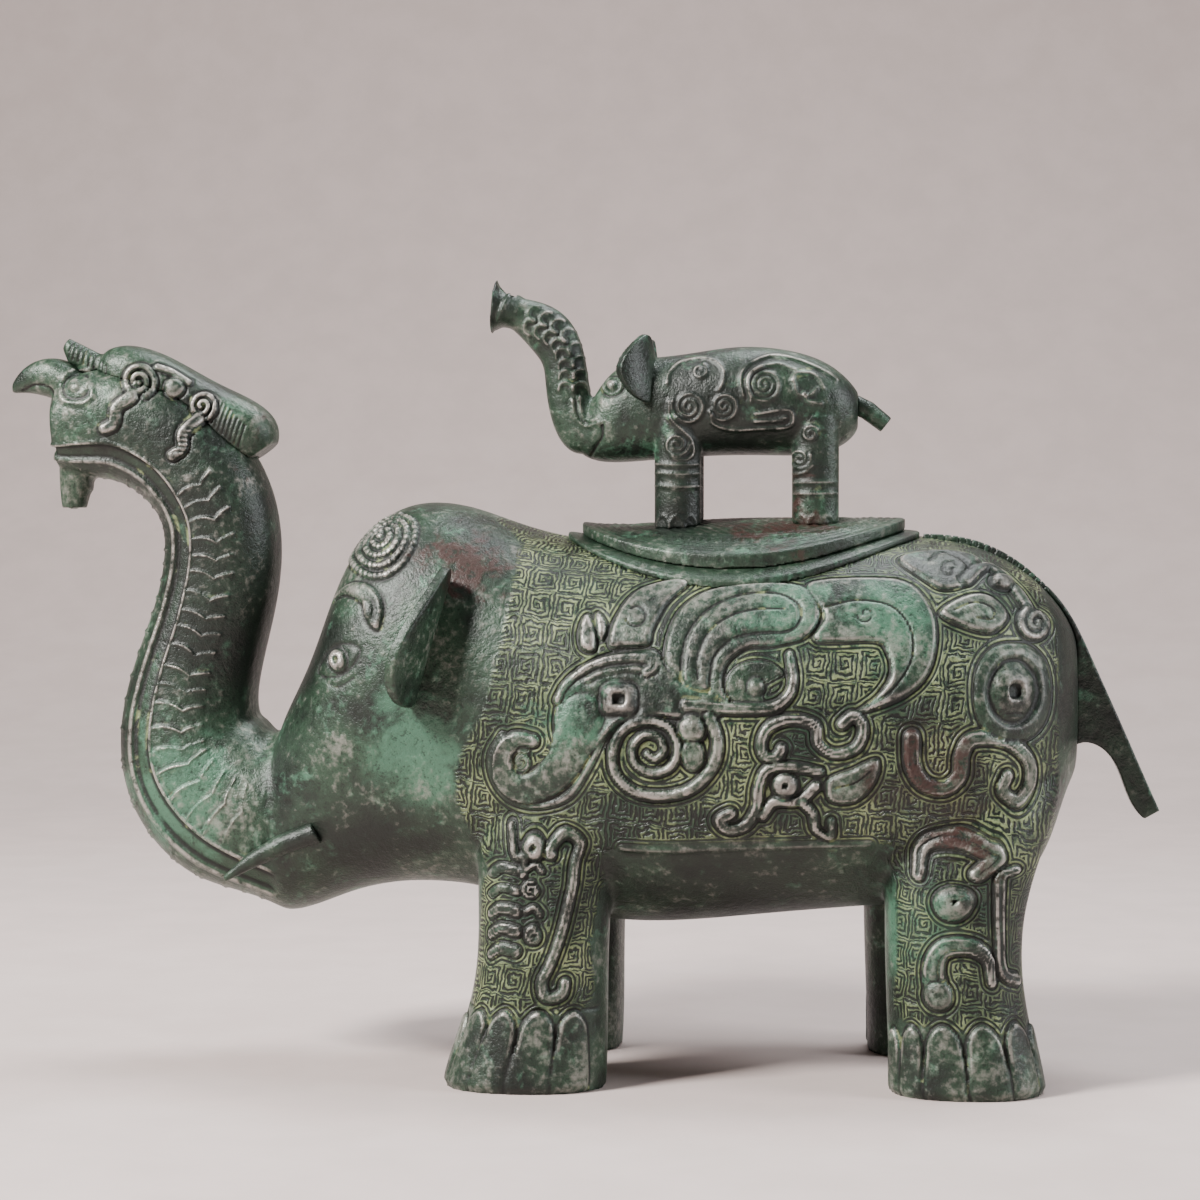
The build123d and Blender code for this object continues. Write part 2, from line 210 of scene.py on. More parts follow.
class Sheet:
    def __init__(self, left, right, low, high, step=0.3):
        self.left, self.low, self.step = left, low, step
        self.u, self.v = np.meshgrid(np.arange(left, right, step), np.arange(low, high, step))
        self.height = np.zeros_like(self.u)
        self.away = np.full_like(self.u, 9.0)

    def window(self, path, reach):
        rows = np.clip(((path[:, 1].min() - reach - self.low) / self.step, (path[:, 1].max() + reach - self.low) / self.step), 0, self.u.shape[0])
        columns = np.clip(((path[:, 0].min() - reach - self.left) / self.step, (path[:, 0].max() + reach - self.left) / self.step), 0, self.u.shape[1])
        return slice(int(rows[0]), int(rows[1]) + 1), slice(int(columns[0]), int(columns[1]) + 1)

    def measure(self, path, reach):
        # distance from the line, and how far along it, for the part of the sheet round it
        part = self.window(path, reach)
        u, v = self.u[part], self.v[part]
        nearest, along = np.full_like(u, 1e9), np.zeros_like(u)
        total = len(path) - 1
        for index in range(total):
            a, b = path[index], path[index + 1]
            run = b - a
            t = np.clip(((u - a[0]) * run[0] + (v - a[1]) * run[1]) / max(run @ run, 1e-9), 0, 1)
            gap = (u - a[0] - t * run[0])**2 + (v - a[1] - t * run[1])**2
            closer = gap < nearest
            nearest = np.where(closer, gap, nearest)
            along = np.where(closer, (index + t) / total, along)
        return part, np.sqrt(nearest), along

    def raiseUp(self, part, inside, body, gap, trench):
        height = self.height[part]
        outside = ~inside
        height[outside] -= trench * np.exp(-((gap[outside] - 0.45) / 0.45)**2)
        height[inside] = body[inside]
        self.away[part] = np.minimum(self.away[part], np.maximum(gap, 0))

    def band(self, points, width, rise, ends=(1.0, 1.0), lines=(), trench=0.35, closed=False):
        # raised rounded strap with tapering ends and lines cut along it
        part, gap, along = self.measure(flow(points, closed), width / 2 + 4)
        half = width / 2 * np.interp(along, [0, 1], ends)
        inside = gap < half
        body = rise * np.sqrt(np.clip(1 - (gap / half)**4, 0, 1)) + 0.05
        for offset in lines:
            body = body - 0.5 * np.exp(-((gap - offset * half) / 0.33)**2)
        self.raiseUp(part, inside, body, gap - half, trench)

    def leaf(self, points, rise, edge=1.4, trench=0.35):
        # raised flat-topped shape with rounded edges
        path = flow(points, True)
        part, gap, along = self.measure(path, 4)
        u, v = self.u[part], self.v[part]
        inside = np.zeros(u.shape, bool)
        for a, b in zip(path[:-1], path[1:]):
            if a[1] != b[1]:
                crosses = (v < a[1]) != (v < b[1])
                inside ^= crosses & (u < a[0] + (v - a[1]) * (b[0] - a[0]) / (b[1] - a[1]))
        body = rise * np.sqrt(np.clip(1 - (1 - np.minimum(gap / edge, 1))**2.5, 0, 1))
        self.raiseUp(part, inside, body, np.where(inside, 0, gap), trench)

    def boss(self, centre, radius, rise, pit=0.0, squash=1.0, flat=2.0, trench=0.35):
        part = self.window(np.array([centre]), radius * max(1, squash) + 4)
        u, v = self.u[part] - centre[0], (self.v[part] - centre[1]) / squash
        gap = (np.abs(u)**flat + np.abs(v)**flat)**(1 / flat)
        body = rise * np.clip(1 - (gap / radius)**2.4, 0, 1)**0.55
        if pit:
            body = body - 0.8 * rise * ramp(gap, pit * 1.25, pit * 0.7)
        self.raiseUp(part, gap < radius, body, gap - radius, trench)

    def carve(self, points, width, depth, closed=False, ends=(1.0, 1.0)):
        part, gap, along = self.measure(flow(points, closed), width + 2)
        self.height[part] -= depth * np.interp(along, [0, 1], ends) * np.exp(-(gap / (0.6 * width))**2)

    def lift(self, points, width, rise, closed=False):
        # thin raised line that doesn't clear what it crosses
        part, gap, along = self.measure(flow(points, closed), width + 2)
        self.height[part] += rise * np.exp(-(gap / (0.6 * width))**2)
        self.away[part] = np.minimum(self.away[part], np.maximum(gap - width / 2, 0))

    def grooves(self):
        # how far each place lies below what is round it
        reach = max(1, int(1.1 / self.step))
        soft = self.height
        for axis in (0, 1, 0, 1):
            pad = [(0, 0), (0, 0)]
            pad[axis] = (reach + 1, reach)
            sums = np.cumsum(np.pad(soft, pad, mode="edge"), axis)
            width = 2 * reach + 1
            soft = (np.take(sums, range(width, sums.shape[axis]), axis) - np.take(sums, range(0, sums.shape[axis] - width), axis)) / width
        return np.clip((soft - self.height) / 0.5, -1, 1)

    def at(self, layer, u, v):
        column = np.clip((u - self.left) / self.step, 0, layer.shape[1] - 1.001)
        row = np.clip((v - self.low) / self.step, 0, layer.shape[0] - 1.001)
        i, j = row.astype(int), column.astype(int)
        a, b = row - i, column - j
        top = layer[i, j] * (1 - b) + layer[i, j + 1] * b
        return top * (1 - a) + (layer[i + 1, j] * (1 - b) + layer[i + 1, j + 1] * b) * a


# flank: how the body's skin unrolls, X, underside, top, half width
bodyForm = flow([
    (-92.0, 48.0, 107.0, 26.0), (-86.0, 48.2, 120.5, 29.5), (-79.0, 50.5, 137.5, 33.0), (-71.0, 53.5, 157.5, 36.5), (-60.0, 56.3, 171.0, 40.0),
    (-44.0, 57.3, 175.8, 43.0), (-28.0, 55.5, 172.6, 46.0), (-10.0, 50.5, 166.6, 49.5), (12.0, 46.3, 163.8, 52.5), (40.0, 46.6, 165.0, 54.0),
    (70.0, 49.5, 165.6, 54.0), (95.0, 51.5, 165.8, 52.5), (115.0, 52.5, 164.0, 49.0), (130.0, 55.5, 159.4, 44.0), (141.0, 63.0, 152.2, 37.0),
    (148.0, 78.0, 145.0, 28.0), (152.0, 89.0, 138.6, 18.0), (154.0, 99.0, 130.0, 8.0)])
legForms = [
    {"z": (0, 18.5, 42, 60, 80), "x": (-12.8, -9.7, -7.4, -6.8, -5.0), "long": (24.2, 21.8, 19.8, 20.4, 21.0), "mid": -8.0},
    {"z": (0, 20, 42, 57, 75), "x": (119.2, 117.0, 115.4, 116.2, 119.2), "long": (22.8, 21.1, 20.2, 21.2, 24.0), "mid": 116.5}]
legSpread = {"middle": 33.0, "half": 17.0, "round": 21.0, "joinLow": 56.0, "joinHigh": 74.0, "reach": 27.0, "step": 5.5}


def unroll(x, y, z):
    # place on the flank sheet of points on body and legs
    low, high, wide = (np.interp(x, bodyForm[:, 0], bodyForm[:, k]) for k in (1, 2, 3))
    middle = low + 0.47 * (high - low)
    tall = np.where(z > middle, high - middle, middle - low)
    u, v = x + 0.0 * z, middle + 0.5 * (wide + tall) * np.arctan2((z - middle) / tall, np.abs(y) / wide)
    for leg in legForms:
        centre = np.interp(z, leg["z"], leg["x"])
        centre = centre - np.where((leg["mid"] > 50) & (y > 0), legSpread["step"], 0)
        half = np.interp(z, leg["z"], leg["long"])
        share = ramp(z, legSpread["joinHigh"], legSpread["joinLow"])
        share = share * ramp(np.abs(x - centre), legSpread["reach"] + 4, legSpread["reach"])
        turn = np.arctan2((x - centre) / half, (np.abs(y) - legSpread["middle"]) / legSpread["half"])
        u = u * (1 - share) + (leg["mid"] + legSpread["round"] * turn) * share
        v = v * (1 - share) + z * share
    return u, v


def onFlank(points):
    # points read off the near side as X, Z, put on the flank sheet
    placed = []
    for x, z in points:
        low, high, wide = (np.interp(x, bodyForm[:, 0], bodyForm[:, k]) for k in (1, 2, 3))
        middle = low + 0.47 * (high - low)
        tall = high - middle if z > middle else middle - low
        y = wide * max(0.02, 1 - min(1, abs(z - middle) / tall)**2.25)**(1 / 2.25)
        for leg in legForms:
            half = np.interp(z, leg["z"], leg["long"])
            offset = (x - np.interp(z, leg["z"], leg["x"])) / half
            if abs(offset) < 1 and z < legSpread["joinHigh"]:
                y = max(y, legSpread["middle"] + legSpread["half"] * math.sqrt(1 - offset**2))
        u, v = unroll(np.array([x]), np.array([-y]), np.array([z]))
        placed.append((float(u[0]), float(v[0])))
    return placed


flank = Sheet(-95, 165, -2, 200, 0.3)
dragon = {
    "strap": 3.0, "rise": 1.25,
    "face": [(5.4, 124.5), (-0.8, 118), (-2, 107), (5, 99), (12, 106), (18, 111), (27, 112.5), (37, 112), (46, 112.5), (46.5, 118),
             (38, 121), (31, 126), (27, 131.5), (18, 131), (10, 129)],
    "snout": [(6, 112), (3, 104.5), (-0.5, 97.5), (-6, 92.2), (-12.5, 90.6), (-17.3, 94), (-18, 100.5), (-14.4, 105), (-8.8, 104.8)],
    "snoutRim": [(24.3, 112.3), (17.4, 111.4), (12.2, 106.6), (7.5, 97.2), (1.5, 88.6), (-7.4, 85.6), (-15.2, 87), (-20.2, 92.5), (-21.4, 99.8), (-18, 106)],
    "brow": [(-1.6, 117), (0.6, 121), (5, 125), (11.5, 128.2), (19, 129.3), (25.3, 129), (27, 126.6), (24.6, 125.2)],
    "browInner": [(7, 122.8), (12, 125), (19, 126), (23, 126)],
    "lozenge": [(6.6, 142), (4.6, 138), (5.2, 132.4), (8.9, 131.5), (9.3, 137)],
    "fleck": [(9.5, 142.6), (12.6, 139), (11.2, 134.4), (9.8, 137)],
    "horn": [(13.5, 133.4), (15.8, 142.2), (21.5, 149), (31.1, 152), (36.5, 151.4), (30.5, 145.6), (26.4, 137.9), (25, 133.4), (18, 132.8)],
    "mane": [(36.3, 121.8), (31.1, 125.2), (30.7, 134.6), (35, 144.2), (44.4, 149.6), (61.8, 151.3), (72, 149.6), (75.6, 143.2), (72, 136.2),
             (62.9, 133.4), (53.8, 132.4), (48, 127.4), (47.2, 121), (49.3, 115.9), (42, 115)],
    "plume": [(36.4, 120.4), (35.4, 127), (37.2, 136), (43, 143.2), (52, 147.2), (62, 147.9), (68.3, 145.4), (69.8, 141.4), (66.5, 137.6),
              (57, 136.9), (49.6, 135), (44.4, 129.8), (43.2, 123.5), (42.6, 120.2)],
    "plumeLine": [(40.2, 123.4), (39.8, 129.5), (43.3, 137), (50, 141.6), (58, 143.4), (65, 143.4)],
    "jaw": [(66.8, 130.6), (67.8, 124), (66.6, 119), (61.3, 115.4), (50.1, 115), (41, 115.8), (36.5, 116)],
    "tail": [(72, 150.9), (87.8, 152.8), (101.9, 151.2), (109.2, 141.5), (108.2, 127.9), (100.8, 119.2), (86.4, 113.7), (92.6, 118.8),
             (96.4, 125), (95.4, 131.4), (91.5, 134.6), (74.6, 134.8), (77, 142)],
    "tailLine": [(77.4, 144.3), (86.9, 146.2), (96.6, 144.4), (101.9, 138.1), (102.3, 129.6), (97, 121), (88.4, 114.8)],
    "curlJaw": [(43.5, 112.5), (45.8, 106), (44.6, 98.6), (39, 92), (31, 89.4), (22, 90.2), (16.2, 95), (15.0, 102), (18, 108.7), (24.5, 111.2),
                (31.2, 109.5), (34.2, 103.5), (31.8, 97.6), (26, 96), (21.5, 99), (21, 104), (24.6, 107.3), (28.8, 106.2), (30, 102.6), (27.6, 100.2), (25, 101.6)],
    "drop": [(36, 104.6), (40.6, 105), (42, 100), (38.6, 96.6), (35.6, 99.6)],
    "scroll": [(64.5, 103.4), (63, 100.8), (59.6, 101.2), (58.6, 105), (60.8, 109.6), (67.3, 112), (74.3, 110.2), (75.4, 105), (80.1, 102), (86.4, 104), (88.2, 109.8), (85.4, 113), (82, 110.5)],
    "whelp": [(49.5, 84), (46.4, 82), (49, 79.2), (54, 80.6), (57.2, 85.8), (57.9, 92), (60.6, 97.3), (68, 98), (75.8, 96.6)],
    "whelpBack": [(59, 83.4), (62.4, 87.6), (69.5, 88), (74.5, 92.4)],
    "wing": [(78, 94), (85.2, 97.4), (92.4, 100.2), (91.6, 93.8), (86.1, 88), (79, 88)],
    "claw": [(70.5, 87.5), (73.6, 84.2), (74.6, 79.4), (78.8, 77.2), (79, 82)]}


def draw(name, width=None, rise=None, **extra):
    flank.band(onFlank(dragon[name]), width or dragon["strap"], rise or dragon["rise"], **extra)


flank.leaf(onFlank(dragon["mane"]), 1.1)
flank.leaf(onFlank(dragon["plume"]), 1.5, trench=0.75)
flank.carve(onFlank(dragon["plumeLine"]), 0.7, 0.7)
flank.leaf(onFlank(dragon["face"]), 1.0)
draw("snout", 12.5, 1.2, ends=(1.1, 0.25))
flank.lift(onFlank(dragon["snoutRim"]), 1.8, 0.9)
flank.lift(onFlank(coil((-12.6, 98.6), 4.0, 0.6, 1.6, 60)), 0.9, 0.6)
draw("brow", 3.4, 1.6, ends=(0.5, 0.8), lines=(0.0,))
draw("browInner", 1.6, 1.2)
flank.leaf(onFlank(dragon["lozenge"]), 2.0)
flank.leaf(onFlank(dragon["fleck"]), 1.4)
flank.leaf(onFlank(dragon["horn"]), 1.3)
flank.carve(onFlank(coil((21.3, 141.4), 3.2, 2.6, 0.8, 200)), 0.7, 0.8)
flank.boss(onFlank([(16.9, 117.4)])[0], 5.6, 3.0, pit=1.9, squash=0.82, flat=3.6, trench=0.7)
for radius in (3.6, 5.2, 6.8, 8.2):
    flank.lift(onFlank([(57.4 + radius * math.cos(a), 121.6 + 0.8 * radius * math.sin(a)) for a in np.linspace(0.6, 4.9, 12)]), 0.9, 0.55)
flank.boss(onFlank([(57, 121.4)])[0], 2.4, 1.4)
draw("jaw", 3.4, 1.4, ends=(0.6, 1.0), lines=(0.0,))
flank.leaf(onFlank(dragon["tail"]), 1.15)
flank.carve(onFlank(dragon["tailLine"]), 0.7, 0.8)
flank.carve(onFlank(coil((89, 142.2), 2.6, 0.8, 1.0, 190)), 0.6, 0.6)
draw("curlJaw", 3.0, 1.35, ends=(1.05, 0.5))
flank.boss(onFlank([(38.3, 109.0)])[0], 3.9, 2.4)
flank.leaf(onFlank(dragon["drop"]), 1.0)
draw("scroll", 2.9, 1.2, ends=(0.9, 0.9), lines=(0.0,))
draw("whelp", 3.6, 1.2, ends=(0.9, 0.6), lines=(0.0,))
draw("whelpBack", 2.6, 1.1)
flank.leaf(onFlank(dragon["wing"]), 1.2)
flank.carve(onFlank([(80, 92), (86, 93.6), (90.4, 97)]), 0.6, 0.6)
flank.boss(onFlank([(65.6, 92.6)])[0], 3.7, 2.0, pit=0.7)
draw("claw", 2.4, 1.1, ends=(1.0, 0.7))

rump = {
    "band": [(102.4, 106.5), (102.8, 98.5), (106, 93), (111.8, 91.6), (116.3, 95.2), (117, 101.5), (119.4, 105.6), (125, 106.4), (131.8, 104.4),
             (137, 99), (137.2, 92), (133.4, 87.6), (129.2, 90.5), (130.6, 95)],
    "back": [(99, 158), (106, 160.6), (115, 160.8), (123, 158.4), (120, 151.6), (112.4, 149.6), (106.4, 152.6)],
    "neck": [(119, 152), (126, 156), (133, 150.4), (137.6, 143.6)],
    "leaf": [(111, 143), (119, 147.6), (126, 147.2), (131, 141.5), (126, 137), (118, 138.6)]}
flank.band(onFlank(rump["band"]), 5.0, 1.25, ends=(0.9, 0.6), lines=(0.33,))
flank.leaf(onFlank(rump["back"]), 1.1)
flank.carve(onFlank([(108, 157.4), (112.5, 160), (118, 157.6), (120.4, 154.6)]), 0.7, 0.8)
flank.carve(onFlank(coil((114, 154.6), 2.8, 0.8, 1.0, 30)), 0.6, 0.6)
flank.band(onFlank(rump["neck"]), 5.0, 1.1, ends=(0.8, 0.7))
flank.boss(onFlank([(130, 151.6)])[0], 3.6, 2.1)
flank.leaf(onFlank(rump["leaf"]), 1.2)
flank.carve(onFlank([(115, 143.4), (121, 145.4), (126.4, 143.6), (126, 140.6), (121.6, 141)]), 0.7, 0.7)
flank.band(onFlank(coil((139.6, 139.4), 4.8, 0.8, 1.7, 120)), 2.2, 1.1)
eyePlace = onFlank([(132.3, 119.8)])[0]
flank.boss(eyePlace, 11.6, 1.5, squash=1.12, flat=2.3)
flank.carve(coil(eyePlace, 7.4, 7.4, 1.0, squash=1.12), 1.7, 1.3, closed=False)
flank.boss(eyePlace, 5.8, 2.6, pit=1.9, squash=1.05, flat=3.0, trench=0.5)
flank.lift(onFlank([(17.5, 73), (30, 72.6), (45, 73.2), (65, 74), (90, 74.6)]), 1.8, 0.7)

# legs: strips, bosses and nails
flank.band(onFlank([(104.2, 65.5), (106.8, 73.4), (116.5, 78), (126, 76.4), (128, 70), (122, 65.6)]), 5.0, 1.2, ends=(0.7, 1.0), lines=(0.0,))
flank.boss(onFlank([(114.9, 58.5)])[0], 6.4, 3.0, pit=0.9)
flank.band(onFlank([(133.5, 67), (129, 65), (128.4, 56), (128.4, 46), (129.5, 37), (133.5, 34.6)]), 4.6, 1.1, ends=(0.7, 0.8), lines=(0.0,))
flank.band(onFlank([(110.2, 31), (109, 38.6), (111.8, 44.4), (119.5, 45.2), (124.8, 41.6), (126, 34.5)]), 5.4, 1.25, ends=(1.4, 0.5), lines=(0.4,))
flank.boss(onFlank([(110.4, 30.8)])[0], 4.5, 1.7)
flank.boss(onFlank([(-8.9, 72.0)])[0], 3.2, 1.9, pit=0.8)
flank.band(onFlank([(-3.4, 70.4), (-4.4, 74.6), (0.4, 78), (5, 75), (3.4, 68), (2.4, 60), (-0.2, 49), (-3.6, 39), (-6.3, 33), (-4.8, 28.6), (-0.6, 29.6), (0.4, 33)]),
           4.6, 1.3, ends=(0.5, 0.6), lines=(0.0,))
flank.band(onFlank([(-15.5, 80.5), (-14.5, 74.5), (-11.6, 69.5), (-12.2, 64.8)]), 2.0, 1.0, lines=())
for z in (65.5, 59.5, 53.5, 47.5, 41.5):
    flank.band(onFlank([(-21.5, z - 0.6), (-18.5, z + 1.4), (-14.2, z + 0.6)]), 3.6, 0.95, ends=(0.8, 0.9), lines=(0.3,))
for centre in ((-9.6, 60.5), (-8.8, 47.0)):
    flank.band(onFlank(coil(centre, 2.6, 0.6, 1.5, 80)), 1.2, 0.9)
for centre in ((-8.6, 66.4), (-9.2, 54.0)):
    flank.band(onFlank([(centre[0] - 2.4, centre[1]), (centre[0] + 0.4, centre[1] + 1.4), (centre[0] + 2.4, centre[1] - 0.6)]), 1.3, 0.8)
flank.carve(onFlank([(-30, 24.6), (-17, 25.2), (-6, 24.8), (9, 24.8)]), 0.9, 0.5)
for middle, half, top in ((-46, 5, 20), (-35.6, 5, 22), (-25.4, 4.6, 24), (-16.4, 4.4, 24.4), (-6.2, 4.9, 24.6), (4.2, 4.7, 24.4),
                          (93.6, 4.0, 20), (101.8, 3.6, 21.4), (111.4, 5.0, 22), (122.8, 5.0, 22.2), (133.8, 4.9, 22.4), (144.4, 4.6, 21)):
    flank.leaf([(middle - half, -1), (middle - half, top - 8), (middle - 0.7 * half, top - 2.5), (middle, top), (middle + 0.7 * half, top - 2.5),
                (middle + half, top - 8), (middle + half, -1)], 1.0, edge=1.6, trench=0.45)

# head: coiled snake on the forehead, brow and eye
coilPlace = {"centre": (-58.0, 162.5), "across": 12.2, "tall": 16.8}
for ring in (0.93, 0.72, 0.5, 0.28):
    points = coil(coilPlace["centre"], ring * coilPlace["across"], (ring - 0.1) * coilPlace["across"], 1.0, 70, coilPlace["tall"] / coilPlace["across"])
    flank.band(points, 2.1, 0.85, trench=0.3)
    for tick in range(int(44 * ring)):
        angle = 2 * math.pi * tick / int(44 * ring)
        at = [(coilPlace["centre"][0] + r * coilPlace["across"] * math.cos(angle), coilPlace["centre"][1] + r * coilPlace["tall"] * math.sin(angle))
              for r in (ring - 0.1, ring + 0.02)]
        flank.carve(at, 0.55, 0.45)
for dot in ((-59, 163.5), (-56.6, 166)):
    flank.boss(dot, 1.2, 1.2)
flank.leaf(onFlank([(-73.6, 145.5), (-66.5, 151), (-59.5, 150), (-55.8, 144.6), (-56.6, 137.4), (-60.4, 139.4), (-62.8, 145), (-68, 147.4)]), 1.0)
flank.leaf(onFlank([(-62, 146), (-58.8, 145.4), (-58.4, 141), (-61, 140.6)]), 1.5)
flank.carve(onFlank([(-77.2, 123.9), (-73.4, 130.6), (-67.6, 132.8), (-62.6, 131), (-66, 125), (-71.6, 122.6)]), 0.8, 0.6, closed=True)
flank.boss(onFlank([(-69.8, 127.8)])[0], 2.9, 1.7, pit=0.8)
flank.carve(onFlank([(-75.5, 122.6), (-70, 119.8), (-64.5, 122.6)]), 0.8, 0.45)
flankGroove = flank.grooves()

# where the spiral ground lies
region = Sheet(-95, 165, -2, 200, 1.0)
region.leaf([(-14, 196), (-15, 165), (-18, 137), (-24, 114), (-32, 99), (-32.5, 88), (-28, 77), (-25, 70), (-31, 58), (-32, 25.5), (8, 25.5), (10, 45), (13, 60),
             (18, 74), (92, 75), (95, 66), (96.5, 40), (98, 23), (146, 23), (146, 60), (146.5, 80), (146.5, 131), (143, 150), (132, 196)], 1.0, edge=0.8, trench=0.0)
print("flank drawn")

# trunk: line up its middle, X, Z, heading, half depth, half width
trunkForm = np.array([
    (-92.0, 74.0, 165.0, 27.5, 26.0), (-109.8, 82.5, 155.0, 26.4, 24.0), (-120.3, 93.7, 125.0, 24.4, 21.5), (-123.0, 105.5, 100.0, 21.9, 19.5),
    (-120.9, 121.3, 80.0, 19.6, 17.5), (-115.5, 140.3, 78.0, 18.4, 16.5), (-112.3, 159.2, 90.0, 18.2, 16.0), (-114.2, 174.6, 110.0, 18.0, 16.0),
    (-124.5, 190.1, 140.0, 18.0, 15.5), (-137.9, 198.7, 165.0, 18.2, 15.0), (-149.0, 200.8, 180.0, 17.6, 14.4), (-166.0, 198.4, 184.0, 11.8, 11.5)])
trunkLine = flow(trunkForm[:, :2], step=2.0)
trunkRun = np.concatenate([[0], np.cumsum(np.linalg.norm(np.diff(trunkLine, axis=0), axis=1))])
trunkRound = 18.0


def roundTrunk(points):
    # length along the trunk and arc from its front edge, for points in millimetres
    best, index = np.full(len(points), 1e9), np.zeros(len(points), int)
    for k, (x, z) in enumerate(trunkLine):
        gap = (points[:, 0] - x)**2 + (points[:, 2] - z)**2
        closer = gap < best
        best = np.where(closer, gap, best)
        index[closer] = k
    ahead = np.gradient(trunkLine, axis=0)
    ahead /= np.linalg.norm(ahead, axis=1)[:, None]
    offset = points[:, (0, 2)] - trunkLine[index]
    along = trunkRun[index] + (offset * ahead[index]).sum(1)
    depth = offset[:, 0] * ahead[index][:, 1] - offset[:, 1] * ahead[index][:, 0]
    return along, trunkRound * np.arctan2(np.abs(points[:, 1]), -depth)


trunk = Sheet(-4, trunkRun[-1] + 8, -2, 60, 0.3)
trunkRelief = {"strip": 14.0, "line": 20.2, "scaleTop": 36.0, "row": 6.0, "bar": 6.3, "from": 6.0, "to": 130.0, "channel": 1.25, "cusp": 0.62}
s, side = trunk.u, trunk.v
trunk.height -= trunkRelief["channel"] * ramp(side, 13.4, 15.2) * ramp(side, 20.8, 19.2) * ramp(s, 190, 182)
bar = np.abs((s / trunkRelief["bar"]) % 1.0 - 0.5) * trunkRelief["bar"]
trunk.height += 0.45 * np.exp(-(bar / 0.5)**2) * ramp(side, 10.8, 9.8) + 0.35 * ramp(side, 14.4, 13.6) * ramp(side, 12.2, 12.8)
trunk.lift([(-4, 20.4), (60, 20.2), (trunkRun[-1] + 8, 20.2)], 1.2, 0.9)
across = np.clip((side - trunkRelief["line"]) / (trunkRelief["scaleTop"] - trunkRelief["line"]), 0, 1)
lobe = np.where(across < trunkRelief["cusp"], 0.7 * np.sin(math.pi * across / trunkRelief["cusp"]) - 1.1 * (across / trunkRelief["cusp"])**3,
                -1.1 + 2.6 * np.clip((across - trunkRelief["cusp"]) / (1 - trunkRelief["cusp"]), 0, 1)**0.6)
row = (s - lobe + 0.5 * np.sin(s * 0.31)) / trunkRelief["row"]
nearRow = np.abs(row - np.round(row)) * trunkRelief["row"]
strong = 0.75 + 0.25 * np.sin(np.round(row) * 2.4) + 0.25 * np.sin(across * 9 + np.round(row) * 5.1)
scaled = ramp(side, 20.8, 21.6) * ramp(side, 36.4, 35.2) * ramp(s, trunkRelief["from"], trunkRelief["from"] + 3) * ramp(s, trunkRelief["to"], trunkRelief["to"] - 3)
trunk.height += scaled * (0.62 * strong * np.exp(-(nearRow / 0.42)**2) + 0.3 * (row % 1.0))
trunkGroove = trunk.grooves()
print("trunk drawn")

beast = Sheet(-180, -88, 178, 232, 0.3)
beast.band(coil((-136.6, 213.6), 5.6, 0.8, 2.0, 300), 1.7, 1.0)
beast.band([(-138.4, 208.4), (-142.6, 205), (-143.4, 200.4), (-146.6, 198.6)], 4.2, 1.3, ends=(1.0, 0.8))
beast.boss((-125.2, 211.6), 3.2, 1.5)
beast.band(coil((-116.4, 205.8), 4.6, 0.7, 1.9, 250), 1.5, 0.95)
beast.band([(-117.6, 201.6), (-121.6, 197.2), (-121.8, 192.6), (-125, 190.2)], 4.0, 1.3, ends=(1.0, 0.8))
for k in range(6):
    beast.carve([(-145.6 + 0.9 * k, 199.4 + 1.3 * k), (-141.6 + 0.4 * k, 199.8 + 1.3 * k)], 0.5, 0.5)
    beast.carve([(-124.6 + 0.8 * k, 191.4 + 1.4 * k), (-120.6 + 0.5 * k, 191.4 + 1.4 * k)], 0.5, 0.5)
for k in range(9):
    beast.carve([(-112.5 + 1.2 * k, 208.6 - 1.1 * k), (-115.0 + 1.2 * k, 201 - 1.0 * k)], 0.6, 0.5)
for k in range(9):
    beast.carve([(-159.6 + 1.5 * k, 226.8 - 1.0 * k), (-161.2 + 1.7 * k, 221.6 - 0.7 * k)], 0.6, 0.5)
beast.band([(-131, 218), (-127, 216.6), (-121, 213)], 1.8, 0.8)
beast.boss((-156.2, 212.0), 4.4, 0.9, squash=0.8)
beast.boss((-156.8, 212.2), 2.3, 1.5)
beast.lift([(-150.6, 208.6), (-153, 216.6), (-158.6, 217.4), (-162.2, 212.6), (-160, 207.6), (-154, 206.6), (-150.6, 208.6)], 1.1, 0.7)
beast.carve([(-176, 211), (-171, 212.8), (-165.8, 211.4), (-165, 206)], 0.9, 0.7)
beastGroove = beast.grooves()

# one casting: body, head, trunk and legs run into each other, so they are remeshed together
casting = {"voxel": 0.72, "fill": (0.965, 0.965, 0.93), "neckX": (-31.0, -13.0), "neckZ": (55.0, 167.0), "trunkRoot": -92.0, "rootFill": (20.0, 24.4, 26.4),
           "mouthMiddle": 51.7, "mouthHalf": (49.5, 34.0), "parts": ["torso", "head", "trunk", "leg_front_left", "leg_front_right", "leg_hind_left", "leg_hind_right"]}
fills = []
for name in ("torso", "head"):
    core = copyOf([name], name + "Fill")
    bpy.ops.object.mode_set(mode="EDIT")
    bpy.ops.mesh.select_all(action="SELECT")
    bpy.ops.mesh.convex_hull()
    middle = sum((Vector(corner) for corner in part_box(name)), Vector()) / 2
    factor = casting["fill"] if name == "torso" else (0.93, 0.9, 0.9)
    bpy.ops.transform.resize(value=factor, center_override=middle)
    bpy.ops.object.mode_set(mode="OBJECT")
    fills.append(core)
bpy.ops.mesh.primitive_uv_sphere_add(segments=48, ring_count=24, radius=mm, location=(-0.095, 0, 0.0774))
bpy.ops.transform.resize(value=casting["rootFill"])
bpy.ops.object.transform_apply()
fills.append(bpy.context.object)
whole = copyOf(casting["parts"], "casting")
only(whole, *fills)
bpy.ops.object.join()
remesh(whole, casting["voxel"])
print("casting remeshed", len(whole.data.polygons))
points = pointsOf(whole) / mm
joins = np.zeros(len(points))
